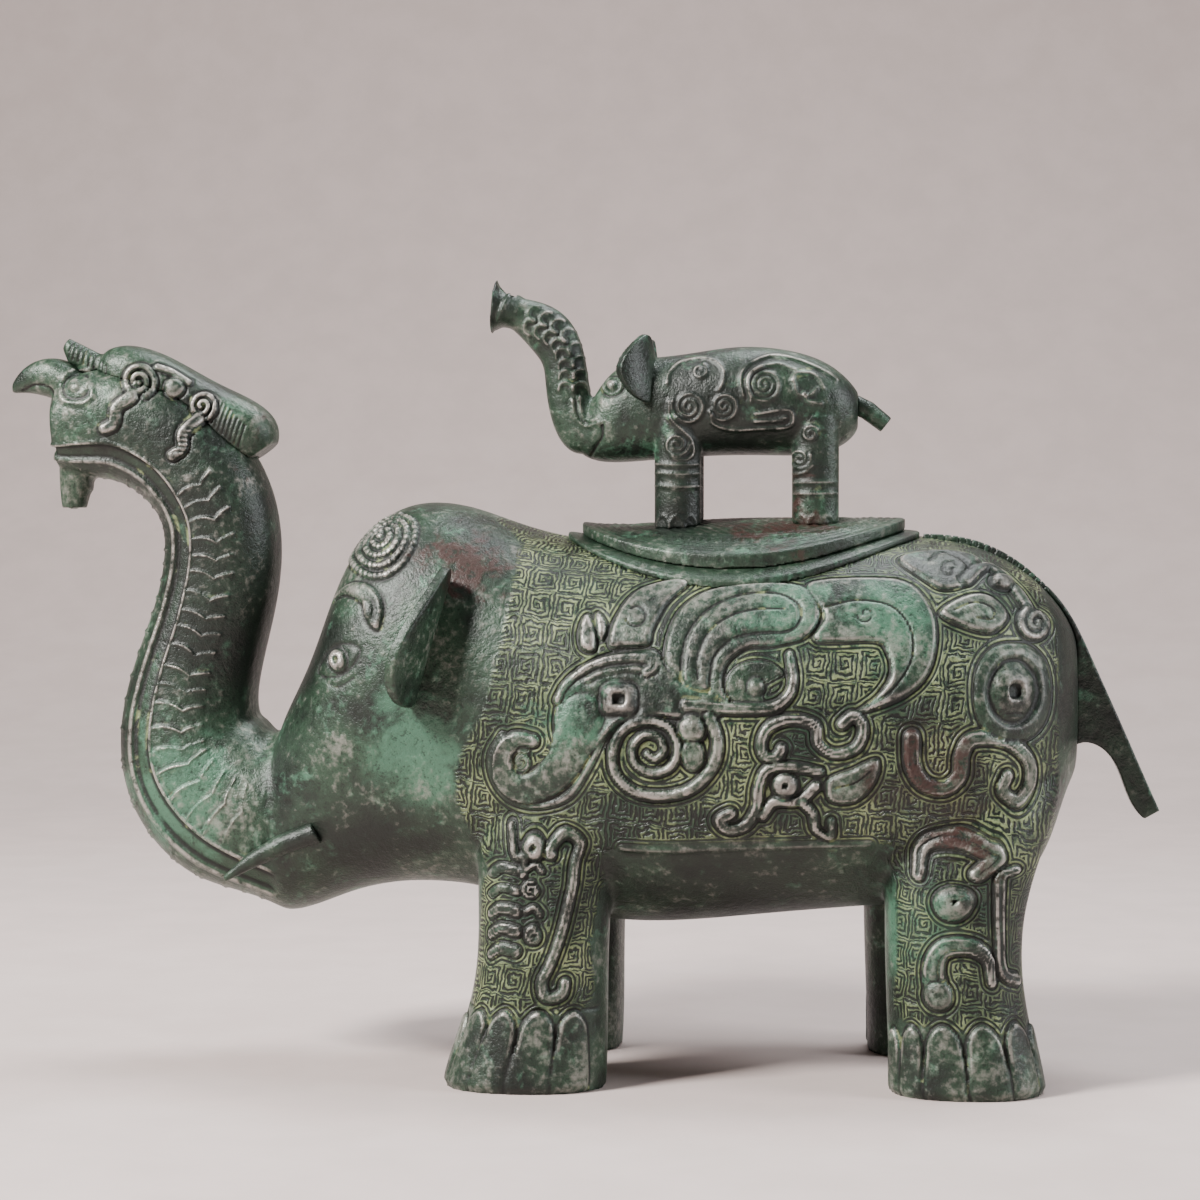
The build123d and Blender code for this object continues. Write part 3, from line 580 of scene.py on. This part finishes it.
for centre in (-7.0, 117.5):
    near = ramp(np.abs(points[:, 0] - centre), 40, 28) * ramp(points[:, 2], 76, 66) * ramp(points[:, 2], 44, 52)
    joins = np.maximum(joins, near * ramp(np.abs(points[:, 1]), 6, 12))
joins = np.maximum(joins, ramp(np.abs(points[:, 0] + 92), 12, 4))
whole.vertex_groups.new(name="joins")
for level in range(1, 6):
    chosen = np.nonzero((joins > (level - 1) / 5) & (joins <= level / 5))[0]
    whole.vertex_groups["joins"].add(chosen.tolist(), level / 5, "REPLACE")
modify(whole, "SMOOTH", factor=0.5, iterations=40, vertex_group="joins")
modify(whole, "SMOOTH", factor=0.5, iterations=3)
points = pointsOf(whole) / mm
middle = faceCentres(whole)
e = ((middle[:, 0] - casting["mouthMiddle"]) / casting["mouthHalf"][0])**2 + (middle[:, 1] / casting["mouthHalf"][1])**2
selectFaces(whole, (e < 1) & (middle[:, 2] > 120))
bpy.ops.object.mode_set(mode="EDIT")
bpy.ops.mesh.delete(type="FACE")
bpy.ops.object.mode_set(mode="OBJECT")
middle = faceCentres(whole)
along, arc = roundTrunk(middle)
facing = np.empty(len(middle) * 3, np.float32)
whole.data.polygons.foreach_get("normal", facing)
nearest = trunkLine[np.array([np.argmin((trunkLine[:, 0] - x)**2 + (trunkLine[:, 1] - z)**2) for x, z in middle[:, (0, 2)]])]
outward = (facing.reshape(-1, 3) * np.column_stack((middle[:, 0] - nearest[:, 0], middle[:, 1], middle[:, 2] - nearest[:, 1]))).sum(1)
selectFaces(whole, (middle[:, 0] < -93) & (along < 150) & (arc > 12.0) & (arc < 37.0) & (outward > 0))
bpy.ops.object.mode_set(mode="EDIT")
bpy.ops.mesh.subdivide(number_cuts=1)
bpy.ops.object.mode_set(mode="OBJECT")
points = pointsOf(whole) / mm
normals = pointsOf(whole, "normal")
u, v = unroll(points[:, 0], points[:, 1], points[:, 2])
along, arc = roundTrunk(points)
toTrunk = ramp(points[:, 0], -90.0, -95.0)
height = flank.at(flank.height, u, v) * (1 - toTrunk) + trunk.at(trunk.height, along, arc) * toTrunk
groove = flank.at(flankGroove, u, v) * (1 - toTrunk) + trunk.at(trunkGroove, along, arc) * toTrunk
away = flank.at(flank.away, u, v)
ground = region.at(region.height, u, v) * (1 - toTrunk)
soleEdge = ramp(points[:, 2], 0.4, 2.2)
beside = ramp(np.abs(normals[:, 1]), 0.2, 0.55) * toTrunk * ramp(points[:, 2], 180, 186)
height = height + beast.at(beast.height, points[:, 0], points[:, 2]) * beside
groove = groove + beast.at(beastGroove, points[:, 0], points[:, 2]) * beside
setPoints(whole, (points + normals * (height * soleEdge)[:, None]) * mm)
remember(whole, "relief", (height, groove, ground))
remember(whole, "carving", (u, v, away))
normals = pointsOf(whole, "normal")
remember(whole, "castNormal", (normals[:, 0], normals[:, 1], normals[:, 2]))
smoothAll(whole)
print("casting carved", len(points))
middle = faceCentres(whole)
neck = casting["neckX"][0] + (middle[:, 2] - casting["neckZ"][0]) * (casting["neckX"][1] - casting["neckX"][0]) / (casting["neckZ"][1] - casting["neckZ"][0])
kinds = np.where(middle[:, 0] < casting["trunkRoot"], 1, np.where(middle[:, 0] < neck, 2, 3))
for leg, centre in enumerate((-8.0, 117.0)):
    isLeg = (middle[:, 2] < 60) & (np.abs(middle[:, 0] - centre) < 31) & (np.abs(middle[:, 1]) > 11)
    kinds = np.where(isLeg, 4 + leg, kinds)
kinds = kinds * 2 + (middle[:, 1] > 0)
titles = {2: ("trunkSkinLeft", ["trunk"]), 3: ("trunkSkinRight", ["trunk"]), 4: ("headSkinLeft", []), 5: ("headSkinRight", []), 6: ("flankSkinLeft", []), 7: ("flankSkinRight", []),
          8: ("legFrontLeft", ["leg_front_left"]), 9: ("legFrontRight", ["leg_front_right"]), 10: ("legHindLeft", ["leg_hind_left"]), 11: ("legHindRight", ["leg_hind_right"])}
skins = {}
order = sorted(titles)
for kind in order[:-1]:
    before = set(bpy.data.objects)
    selectFaces(whole, kinds == kind)
    kinds = kinds[kinds != kind]
    bpy.ops.object.mode_set(mode="EDIT")
    bpy.ops.mesh.separate(type="SELECTED")
    bpy.ops.object.mode_set(mode="OBJECT")
    skin = [item for item in bpy.data.objects if item not in before][0]
    skin.name = titles[kind][0]
    skins[kind] = skin
whole.name = titles[order[-1]][0]
skins[order[-1]] = whole
for kind, skin in skins.items():
    values = np.empty(len(skin.data.vertices) * 3, np.float32)
    skin.data.attributes["castNormal"].data.foreach_get("vector", values)
    skin.data.normals_split_custom_set_from_vertices(values.reshape(-1, 3).tolist())
    skin.data.attributes.remove(skin.data.attributes["castNormal"])
    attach(skin, "vessel")
    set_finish(skin, "bronze")
    if titles[kind][1]:
        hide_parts(*titles[kind][1])
print("casting split", {skin.name: len(skin.data.polygons) for skin in skins.values()})

# wine side of the walls: the CAD shell with its outer face drawn in under the carved skin
lining = copyOf(["torso", "head"], "innerWalls")
points = pointsOf(lining) / mm
low, high, wide = (np.interp(points[:, 0], bodyForm[:, 0], bodyForm[:, k]) for k in (1, 2, 3))
middle = low + 0.47 * (high - low)
tall = np.where(points[:, 2] > middle, high - middle, middle - low)
level = ((np.abs(points[:, 1]) / wide)**2.25 + (np.abs(points[:, 2] - middle) / tall)**2.25)**(1 / 2.25)
outer = ramp(level, 0.965, 0.985)
setPoints(lining, (points - pointsOf(lining, "normal") * (1.4 * outer)[:, None]) * mm)
smoothAll(lining)
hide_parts("torso", "head")
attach(lining, "vessel")
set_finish(lining, "bronze")


# pieces with a shape of their own: remeshed, softened, carved and given back their place
def carvedPiece(name, title, voxel, soften, sheet=None, body="vessel", slotName="bronze", reshape=None):
    piece = copyOf([name], title)
    remesh(piece, voxel)
    modify(piece, "SMOOTH", factor=0.5, iterations=soften)
    points = pointsOf(piece) / mm
    normals = pointsOf(piece, "normal")
    facing = ramp(np.abs(normals[:, 1]), 0.15, 0.5) * ramp(np.abs(points[:, 1]), 0.5, 2.0)
    if sheet:
        height = sheet.at(sheet.height, points[:, 0], points[:, 2]) * facing
        groove = sheet.at(sheet.grooves(), points[:, 0], points[:, 2]) * facing
    else:
        height, groove = np.zeros(len(points)), np.zeros(len(points))
    setPoints(piece, (reshape(points) + normals * height[:, None]) * mm if reshape else (points + normals * height[:, None]) * mm)
    remember(piece, "relief", (height, groove, 0 * height))
    remember(piece, "carving", (points[:, 0], points[:, 2], 0 * height))
    smoothAll(piece)
    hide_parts(name)
    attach(piece, body)
    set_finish(piece, slotName)
    return piece


calf = Sheet(-36, 102, 160, 250, 0.3)
calfCoils = (((35.4, 205.0), 5.2, 2.6, 160, 1), ((31.7, 193.4), 3.7, 2.0, 0, -1), ((46.2, 205.0), 4.5, 2.4, 200, 1), ((58.6, 211.4), 5.6, 2.9, 100, 1),
             ((69.3, 189.0), 3.4, 2.0, 20, -1), ((38.6, 215.8), 2.4, 1.5, 60, -1), ((72.5, 196.6), 2.5, 1.5, 30, 1))
for centre, outer, turns, start, hand in calfCoils:
    calf.lift(coil(centre, outer, 0.5, turns, start, 1.0, hand), 1.0, 0.7)
calfLines = (
    [(29.3, 206.5), (29.7, 201.8), (33.3, 197.8), (36.1, 194.6), (36.5, 190.6), (34.1, 188.6), (30.4, 189.6)],
    [(42.1, 203.0), (42.9, 199.8), (48.5, 197.9), (57.3, 198.2), (65.3, 198.7), (67.3, 201.0), (65.3, 203.8), (55.7, 202.6)],
    [(52.1, 208.2), (51.3, 214.6), (54.9, 218.6), (61.3, 220.6), (69.3, 219.0), (77.3, 215.4), (80.5, 213.0)],
    [(54.3, 206.6), (53.3, 213.6), (56.9, 216.6), (62.3, 217.8), (68.0, 216.0)],
    [(28.5, 212.2), (29.3, 215.4), (32.5, 218.6), (38.9, 219.8), (43.7, 218.6), (46.1, 215.4), (45.7, 212.2), (44.5, 209.8)],
    [(66.9, 213.0), (68.1, 215.0), (72.5, 215.0), (74.9, 213.4), (76.5, 210.6)],
    [(67.3, 212.6), (68.6, 208.8), (72.2, 208.4), (74.6, 210.4)],
    [(70.5, 209.0), (71.7, 206.6), (75.7, 205.8)],
    [(66.0, 187.4), (66.5, 184.6), (70.5, 184.6), (73.3, 187.0)],
    [(55.6, 200.4), (62.0, 200.6), (65.0, 201.4)],
    [(-1.1, 207.4), (-0.3, 202.6), (2.9, 199.4), (7.7, 200.2)],
    [(0.9, 208.2), (1.7, 203.4), (4.1, 201.0), (6.9, 201.4)],
    [(11.7, 220.2), (15.0, 222.0), (18.1, 222.6)])
for line in calfLines:
    calf.lift(flow(line), 1.0, 0.65)
for z in (187.6, 184.8, 180.9):
    calf.lift([(24, z), (33, z - 0.5), (41, z)], 1.1, 0.55)
for z in (181.6, 178.2):
    calf.lift([(65, z), (84, z + 0.3)], 1.1, 0.55)
for x in (27.4, 31.6, 35.8, 69.6, 73.8, 78):
    calf.lift([(x - 1.8, 166), (x - 1.6, 170), (x, 171.6), (x + 1.6, 170), (x + 1.8, 166)], 0.8, 0.35)
calf.boss((11.5, 211.6), 3.4, 0.75, squash=0.85, trench=0.5)
calf.carve(coil((11.5, 211.6), 2.2, 2.2, 1.0), 0.6, 0.6)
calf.boss((11.5, 211.6), 1.6, 1.5, trench=0.0)
calf.carve([(8.4, 199.4), (8.4, 196.2), (6.4, 193.0), (4.4, 190.4)], 0.9, 0.7)
spot = flow([(-1.0, 211.0), (-1.0, 215.8), (-1.6, 220.4), (-3.6, 225.3), (-7.4, 229.0), (-12.2, 231.6), (-18.0, 233.6)], step=0.25)
for row in range(8):
    index = int((row + 0.3) / 8 * (len(spot) - 4))
    ahead = (spot[index + 3] - spot[index]) / np.linalg.norm(spot[index + 3] - spot[index])
    across = np.array([ahead[1], -ahead[0]])
    for lobe in (-2.2, 2.2):
        calf.lift([spot[index] + across * (lobe + a) + ahead * b for a, b in ((-2.2, -1.5), (-1.7, 0.2), (0, 1.0), (1.7, 0.2), (2.2, -1.5))], 1.0, 0.62)


def fuller(points):
    # its raised trunk widens little by little towards the mouth
    x, y, z = points.T
    along = -0.92 * (x + 12) + 0.393 * (z - 231)
    across = 0.393 * (x + 12) + 0.92 * (z - 231)
    reach = np.hypot(y, across)
    mine = (x < -8) & (z > 221) & (along > -1)
    stations = np.arange(-1, 15, 0.5)
    widest = [max(reach[mine & (np.abs(along - station) < 0.6)], default=8.0) for station in stations]
    wanted = np.interp(along, [0, 4, 8, 10.5, 11.8], [5.4, 5.8, 6.6, 7.7, 8.5])
    swell = 1 + mine * ramp(along, 0, 4) * (np.maximum(wanted / np.interp(along, stations, widest), 1) - 1)
    across = across * swell
    return np.column_stack((-12 - 0.92 * along + 0.393 * across, y * swell, 231 + 0.393 * along + 0.92 * across))


calfBody = carvedPiece("calf_body", "smallElephant", 0.5, 3, calf, "lid", "lid_bronze", fuller)


def earBack(points):
    # leaves the eye free
    low = ramp(points[:, 2], 228.0, 204.0)
    return np.column_stack((points[:, 0] + 1.0 + 6.0 * low - 0.18 * (points[:, 0] - 16.0), points[:, 1], points[:, 2]))


for name, title in (("calf_ear_left", "smallEarLeft"), ("calf_ear_right", "smallEarRight")):
    carvedPiece(name, title, 0.4, 4, None, "lid", "lid_bronze", earBack)
carvedPiece("calf_tail", "smallTail", 0.4, 4, None, "lid", "lid_bronze")
lid = {"middle": 51.7, "half": 49.0, "wide": 33.0, "lines": (0.93, 0.885, 0.84, 0.74, 0.70), "width": 0.4, "depth": 0.45}


def lined(points):
    # lines cut in the top, side by side with the edge
    low, high = (np.array(corner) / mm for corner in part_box("lid_plate"))
    place = np.hypot((points[:, 0] - (low[0] + high[0]) / 2) / ((high[0] - low[0]) / 2), points[:, 1] / high[1])
    cut = sum(np.exp(-((place - line) * high[1] / lid["width"])**2) for line in lid["lines"])
    fret = np.sin((points[:, 0] + 0.6 * points[:, 1]) * 2.2) * ramp(place, 0.68, 0.64) + np.sin(points[:, 0] * 2.6) * ramp(place, 0.76, 0.78) * ramp(place, 0.83, 0.81)
    return points - np.array([0, 0, 1]) * (lid["depth"] * cut + 0.16 * fret)[:, None] * (np.abs(place) < 0.96)[:, None]


carvedPiece("lid_plate", "lidPlate", 0.45, 4, None, "lid", "lid_bronze", lined)
print("small elephant and lid made")

carvedPiece("trunk_beast", "trunkBeast", 0.42, 5, beast)
for name, title, voxel, soften in (("ear_left", "earLeft", 0.5, 5), ("ear_right", "earRight", 0.5, 5), ("tusk_left", "tuskLeft", 0.4, 4),
                                   ("tusk_right", "tuskRight", 0.4, 4), ("tail", "tailWeb", 0.45, 4), ("mouth_seat", "mouthSeat", 0.5, 3)):
    carvedPiece(name, title, voxel, soften)
ridge = carvedPiece("spine_flange", "spineRidge", 0.4, 1)
points = pointsOf(ridge) / mm
spineLine = flow([(107.2, 166.0), (124.0, 163.8), (133.3, 159.6), (145.0, 150.2), (152.3, 141.2), (159.1, 127.4), (167.4, 108.9), (179.7, 81.0)], step=0.3)
nearest = np.array([np.argmin((spineLine[:, 0] - x)**2 + (spineLine[:, 1] - z)**2) for x, z in points[:, (0, 2)]])
tooth = np.abs((nearest * 0.3 / 2.1) % 1.0 - 0.5)
normals = pointsOf(ridge, "normal")
setPoints(ridge, (points - normals * (0.55 * ramp(tooth, 0.36, 0.46))[:, None]) * mm)
print("head and trunk pieces made")


# shader maths: a socket that can be added and multiplied
class Wire:
    def __init__(self, tree, socket):
        self.tree, self.socket = tree, socket

    def math(self, operation, *others, clamp=False):
        inputs = {0: self}
        inputs.update({slot + 1: other for slot, other in enumerate(others)})
        return put(self.tree, "ShaderNodeMath", {"operation": operation, "use_clamp": clamp}, inputs)

    def __add__(self, other):
        return self.math("ADD", other)

    __radd__ = __add__

    def __sub__(self, other):
        return self.math("SUBTRACT", other)

    def __rsub__(self, other):
        return self.math("MULTIPLY_ADD", -1.0, other)

    def __mul__(self, other):
        return self.math("MULTIPLY", other)

    __rmul__ = __mul__

    def __truediv__(self, other):
        return self.math("DIVIDE", other)

    def size(self):
        return self.math("ABSOLUTE")

    def part(self):
        return self.math("FRACT")

    def least(self, other):
        return self.math("MINIMUM", other)

    def most(self, other):
        return self.math("MAXIMUM", other)

    def above(self, other):
        return self.math("GREATER_THAN", other)

    def between(self, low, high):
        settings = {"interpolation_type": "SMOOTHSTEP"}
        return put(self.tree, "ShaderNodeMapRange", settings, {0: self, 1: low, 2: high, 3: 0.0, 4: 1.0})


def put(tree, kind, settings, inputs, out=0):
    node = tree.nodes.new(kind)
    for key, value in settings.items():
        setattr(node, key, value)
    for key, value in inputs.items():
        if isinstance(value, Wire):
            tree.links.new(value.socket, node.inputs[key])
        else:
            node.inputs[key].default_value = value
    return Wire(tree, node.outputs[out])


def tint(tree, share, first, second):
    inputs = {0: share, 6: first, 7: second}
    return put(tree, "ShaderNodeMix", {"data_type": "RGBA"}, inputs, 2)


def noise(tree, place, scale, detail=4.0, rough=0.55, warp=0.0):
    return put(tree, "ShaderNodeTexNoise", {}, {"Vector": place, "Scale": scale, "Detail": detail, "Roughness": rough, "Distortion": warp})


# colours and patches of the patina; the worn colour is partly a painted highlight, and the dark patches are partly
# painted shade
patina = {"dark": (0.006, 0.010, 0.007, 1), "green": (0.022, 0.050, 0.028, 1), "turquoise": (0.085, 0.225, 0.140, 1), "verdigris": (0.26, 0.31, 0.14, 1),
          "wearAndHighlight": (0.46, 0.42, 0.385, 1), "red": (0.036, 0.012, 0.009, 1), "black": (0.003, 0.004, 0.003, 1),
          "darkPatinaAndShadePatches": ((-0.106, 0.014, 0.152, 0.052), (-0.128, 0.014, 0.186, 0.034), (-0.022, 0.036, 0.168, 0.026), (0.052, 0.03, 0.060, 0.040), (0.150, 0.02, 0.135, 0.030),
                          (0.048, 0.02, 0.188, 0.036), (-0.060, 0.03, 0.075, 0.024)),
          "cell": 8.5, "turns": 3.25, "lean": 0.14, "lineDepth": 0.00042,
          "redPatches": ((0.108, 0.05, 0.094, 0.020), (0.121, 0.045, 0.076, 0.012), (-0.030, 0.035, 0.160, 0.014), (0.063, 0.02, 0.168, 0.016), (-0.092, 0.02, 0.195, 0.012)),
          "greenPatches": ((0.100, 0.052, 0.05, 0.022), (0.098, 0.05, 0.145, 0.022), (0.066, 0.05, 0.147, 0.018), (-0.122, 0.02, 0.085, 0.022), (0.0, 0.05, 0.112, 0.014), (-0.045, 0.04, 0.10, 0.02))}


def bronze(title, ground=True, brighter=0.0):
    material = bpy.data.materials.new(title)
    material.use_nodes = True
    tree = material.node_tree
    shader = tree.nodes["Principled BSDF"]
    place = put(tree, "ShaderNodeTexCoord", {}, {}, 3)
    axes = tree.nodes.new("ShaderNodeSeparateXYZ")
    tree.links.new(place.socket, axes.inputs[0])
    x, y, z = (Wire(tree, socket) for socket in axes.outputs)
    relief = tree.nodes.new("ShaderNodeAttribute")
    relief.attribute_name = "relief"
    carving = tree.nodes.new("ShaderNodeAttribute")
    carving.attribute_name = "carving"
    parts = [tree.nodes.new("ShaderNodeSeparateXYZ") for _ in range(2)]
    tree.links.new(relief.outputs["Vector"], parts[0].inputs[0])
    tree.links.new(carving.outputs["Vector"], parts[1].inputs[0])
    height, groove, field = (Wire(tree, socket) for socket in parts[0].outputs)
    u, v, away = (Wire(tree, socket) for socket in parts[1].outputs)
    coarse = noise(tree, place, 42.0, 5.0, 0.6)
    patchy = noise(tree, place, 95.0, 6.0, 0.65, 0.4)
    speck = noise(tree, place, 420.0, 4.0, 0.6)
    grit = noise(tree, place, 1500.0, 3.0, 0.6)
    colour = tint(tree, coarse.between(0.36, 0.62), patina["dark"], patina["green"])
    colour = tint(tree, (patchy * 0.7 + speck * 0.3).between(0.53, 0.70) * (0.55 + brighter), colour, patina["turquoise"])
    for px, py, pz, radius in patina["greenPatches"]:
        spread = ((x - px).math("POWER", 2.0) + (y.size() - py).math("POWER", 2.0) + (z - pz).math("POWER", 2.0)).math("SQRT")
        mask = (spread + (patchy - 0.5) * 0.05).between(radius, radius * 0.35)
        colour = tint(tree, mask * 0.5, colour, patina["turquoise"])
    # darker patches: partly the darker patina of the trunk, partly painted shade under the belly and under the head
    for px, py, pz, radius in patina["darkPatinaAndShadePatches"]:
        spread = ((x - px).math("POWER", 2.0) + (y.size() - py).math("POWER", 2.0) + (z - pz).math("POWER", 2.0)).math("SQRT")
        mask = (spread + (patchy - 0.5) * 0.05).between(radius, radius * 0.4)
        colour = tint(tree, mask * 0.6, colour, patina["dark"])
    # pale mauve-grey on raised places and crests: partly wear, partly a painted highlight along the ridges; the same
    # mask makes them smoother and more metallic
    wearAndHighlight = (coarse * 0.5 + speck * 0.5 + (height * 0.05)).between(0.52, 0.70) * 0.5
    ridge = (groove * -1.0).between(0.2, 0.85) * (patchy * 0.6 + speck * 0.4).between(0.40, 0.56)
    wearAndHighlight = wearAndHighlight.most(ridge)
    colour = tint(tree, wearAndHighlight * 0.74, colour, patina["wearAndHighlight"])
    for px, py, pz, radius in patina["redPatches"]:
        spread = ((x - px).math("POWER", 2.0) + (y.size() - py).math("POWER", 2.0) + (z - pz).math("POWER", 2.0)).math("SQRT")
        mask = (spread + (patchy - 0.5) * 0.06).between(radius, radius * 0.4)
        colour = tint(tree, mask * speck.between(0.32, 0.5) * 0.85, colour, patina["red"])
    pits = (speck * 0.5 + grit * 0.5).between(0.47, 0.36)
    colour = tint(tree, pits * 0.65, colour, patina["black"])
    # grooves blackened: painted shade in the recesses; the verdigris laid over it in places is the bronze's own
    deep = groove.between(0.03, 0.55)
    colour = tint(tree, deep * patchy.between(0.28, 0.42) * 0.92, colour, patina["black"])
    colour = tint(tree, deep * (patchy.between(0.56, 0.66)) * 0.6, colour, patina["verdigris"])
    bumpHeight = (speck - 0.5) * 0.00034 + (grit - 0.5) * 0.00016 + (coarse - 0.5) * 0.0004
    if ground:
        waver = noise(tree, place, 120.0, 3.0, 0.6)
        sway = noise(tree, place, 165.0, 3.0, 0.6)
        across = ((u - (v - 110.0) * patina["lean"]) / patina["cell"] + (waver - 0.5) * 0.5).part() - 0.5
        up = ((v + u * 0.08) / (patina["cell"] * 1.08) + (sway - 0.5) * 0.5).part() - 0.5
        wide, tall = across.size(), up.size()
        far = wide.most(tall)
        round = up.math("ARCTAN2", across) * (0.5 / math.pi)
        spiral = ((far * 2.0 * patina["turns"] + round + (speck - 0.5) * 0.6).part() - 0.5).size() * 2.0
        beside = ((away / 1.3).part() - 0.5).size() * 2.0
        near = away.between(2.9, 2.6)
        lines = (spiral * (1.0 - near) + beside * near).between(0.32, 0.72)
        open = field * away.between(0.15, 0.5)
        crest = tint(tree, (coarse * 0.6 + patchy * 0.4).between(0.40, 0.60), patina["green"], patina["verdigris"])
        colour = tint(tree, open * lines.between(0.55, 0.0) * 0.85, colour, patina["black"])
        colour = tint(tree, open * lines * speck.between(0.34, 0.56) * 0.8, colour, crest)
        bumpHeight = bumpHeight + lines * open * patina["lineDepth"]
    bump = put(tree, "ShaderNodeBump", {}, {"Strength": 1.0, "Distance": 1.0, "Height": bumpHeight})
    rough = 0.42 - wearAndHighlight * 0.10 + (speck - 0.5) * 0.3 + deep * 0.15
    tree.links.new(colour.socket, shader.inputs["Base Color"])
    tree.links.new(rough.socket, shader.inputs["Roughness"])
    tree.links.new((wearAndHighlight * 0.4 + 0.15).socket, shader.inputs["Metallic"])
    tree.links.new(bump.socket, shader.inputs["Normal"])
    return material


vesselBronze = bronze("vesselBronze")
plainBronze = bronze("plainBronze", ground=False)
lidBronze = bronze("lidBronze", ground=False, brighter=0.1)
clay = bpy.data.materials.new("coreClay")
clay.use_nodes = True
tree = clay.node_tree
place = put(tree, "ShaderNodeTexCoord", {}, {}, 3)
crumb = noise(tree, place, 260.0, 6.0, 0.7)
shade = tint(tree, crumb.between(0.35, 0.65), (0.11, 0.075, 0.045, 1), (0.29, 0.22, 0.14, 1))
tree.links.new(shade.socket, tree.nodes["Principled BSDF"].inputs["Base Color"])
bump = put(tree, "ShaderNodeBump", {}, {"Strength": 1.0, "Distance": 1.0, "Height": crumb * 0.0008})
tree.links.new(bump.socket, tree.nodes["Principled BSDF"].inputs["Normal"])
tree.nodes["Principled BSDF"].inputs["Roughness"].default_value = 0.95
for item in list(bpy.data.objects):
    if item.type != "MESH":
        continue
    if item.name in nodes:
        chosen = clay if item.name.startswith("core") else plainBronze
    elif item in skins.values():
        chosen = vesselBronze
    elif item.get("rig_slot") == "lid_bronze":
        chosen = lidBronze
    else:
        chosen = plainBronze
    item.data.materials.clear()
    item.data.materials.append(chosen)
print("materials laid on")

# pale floor that sweeps up behind, and soft studio light
stageForm = {"near": -2.6, "far": 0.75, "bend": 0.9, "high": 3.2, "half": 3.2}
bpy.ops.object.select_all(action="DESELECT")
bpy.ops.mesh.primitive_grid_add(x_subdivisions=2, y_subdivisions=40, size=1.0)
floor = bpy.context.object
floor.name = "paleFloor"
run = stageForm["far"] - stageForm["near"] + stageForm["bend"] * math.pi / 2 + stageForm["high"]
for vertex in floor.data.vertices:
    t = (vertex.co.y + 0.5) * run
    x = vertex.co.x * 2 * stageForm["half"]
    flat = stageForm["far"] - stageForm["near"]
    if t < flat:
        vertex.co = (x, stageForm["near"] + t, 0)
    elif t < flat + stageForm["bend"] * math.pi / 2:
        turn = (t - flat) / stageForm["bend"]
        vertex.co = (x, stageForm["far"] + stageForm["bend"] * math.sin(turn), stageForm["bend"] * (1 - math.cos(turn)))
    else:
        vertex.co = (x, stageForm["far"] + stageForm["bend"], stageForm["bend"] + t - flat - stageForm["bend"] * math.pi / 2)
smoothAll(floor)
paper = bpy.data.materials.new("paleFloorPaint")
paper.use_nodes = True
tree = paper.node_tree
place = put(tree, "ShaderNodeTexCoord", {}, {}, 3)
fine = noise(tree, place, 30.0, 6.0, 0.6)
shade = tint(tree, fine.between(0.3, 0.7), (0.545, 0.455, 0.43, 1), (0.585, 0.49, 0.465, 1))
tree.links.new(shade.socket, tree.nodes["Principled BSDF"].inputs["Base Color"])
tree.nodes["Principled BSDF"].inputs["Roughness"].default_value = 0.85
floor.data.materials.append(paper)


def softLight(title, place, aim, size, power, colour=(1, 1, 1)):
    bpy.ops.object.light_add(type="AREA", location=place)
    lamp = bpy.context.object
    lamp.name = title
    lamp.data.shape = "RECTANGLE"
    lamp.data.size, lamp.data.size_y = size
    lamp.data.energy = power
    lamp.data.color = colour
    lamp.rotation_euler = (Vector(aim) - Vector(place)).to_track_quat("-Z", "Y").to_euler()


softLight("keyLight", (-0.85, -0.65, 0.95), (0, 0, 0.1), (0.30, 0.30), 50.0, (1.0, 0.98, 0.95))
softLight("topLight", (0.25, 0.30, 1.25), (0.05, 0, 0.1), (0.6, 0.4), 18.0, (0.95, 0.98, 1.0))
softLight("sideLight", (1.2, -0.25, 0.6), (0.05, 0, 0.12), (0.4, 0.6), 14.0, (0.95, 0.97, 1.0))
world = bpy.data.worlds.new("studio")
bpy.context.scene.world = world
world.use_nodes = True
world.node_tree.nodes["Background"].inputs[0].default_value = (0.80, 0.76, 0.76, 1)
world.node_tree.nodes["Background"].inputs[1].default_value = 0.12
print("stage lit")
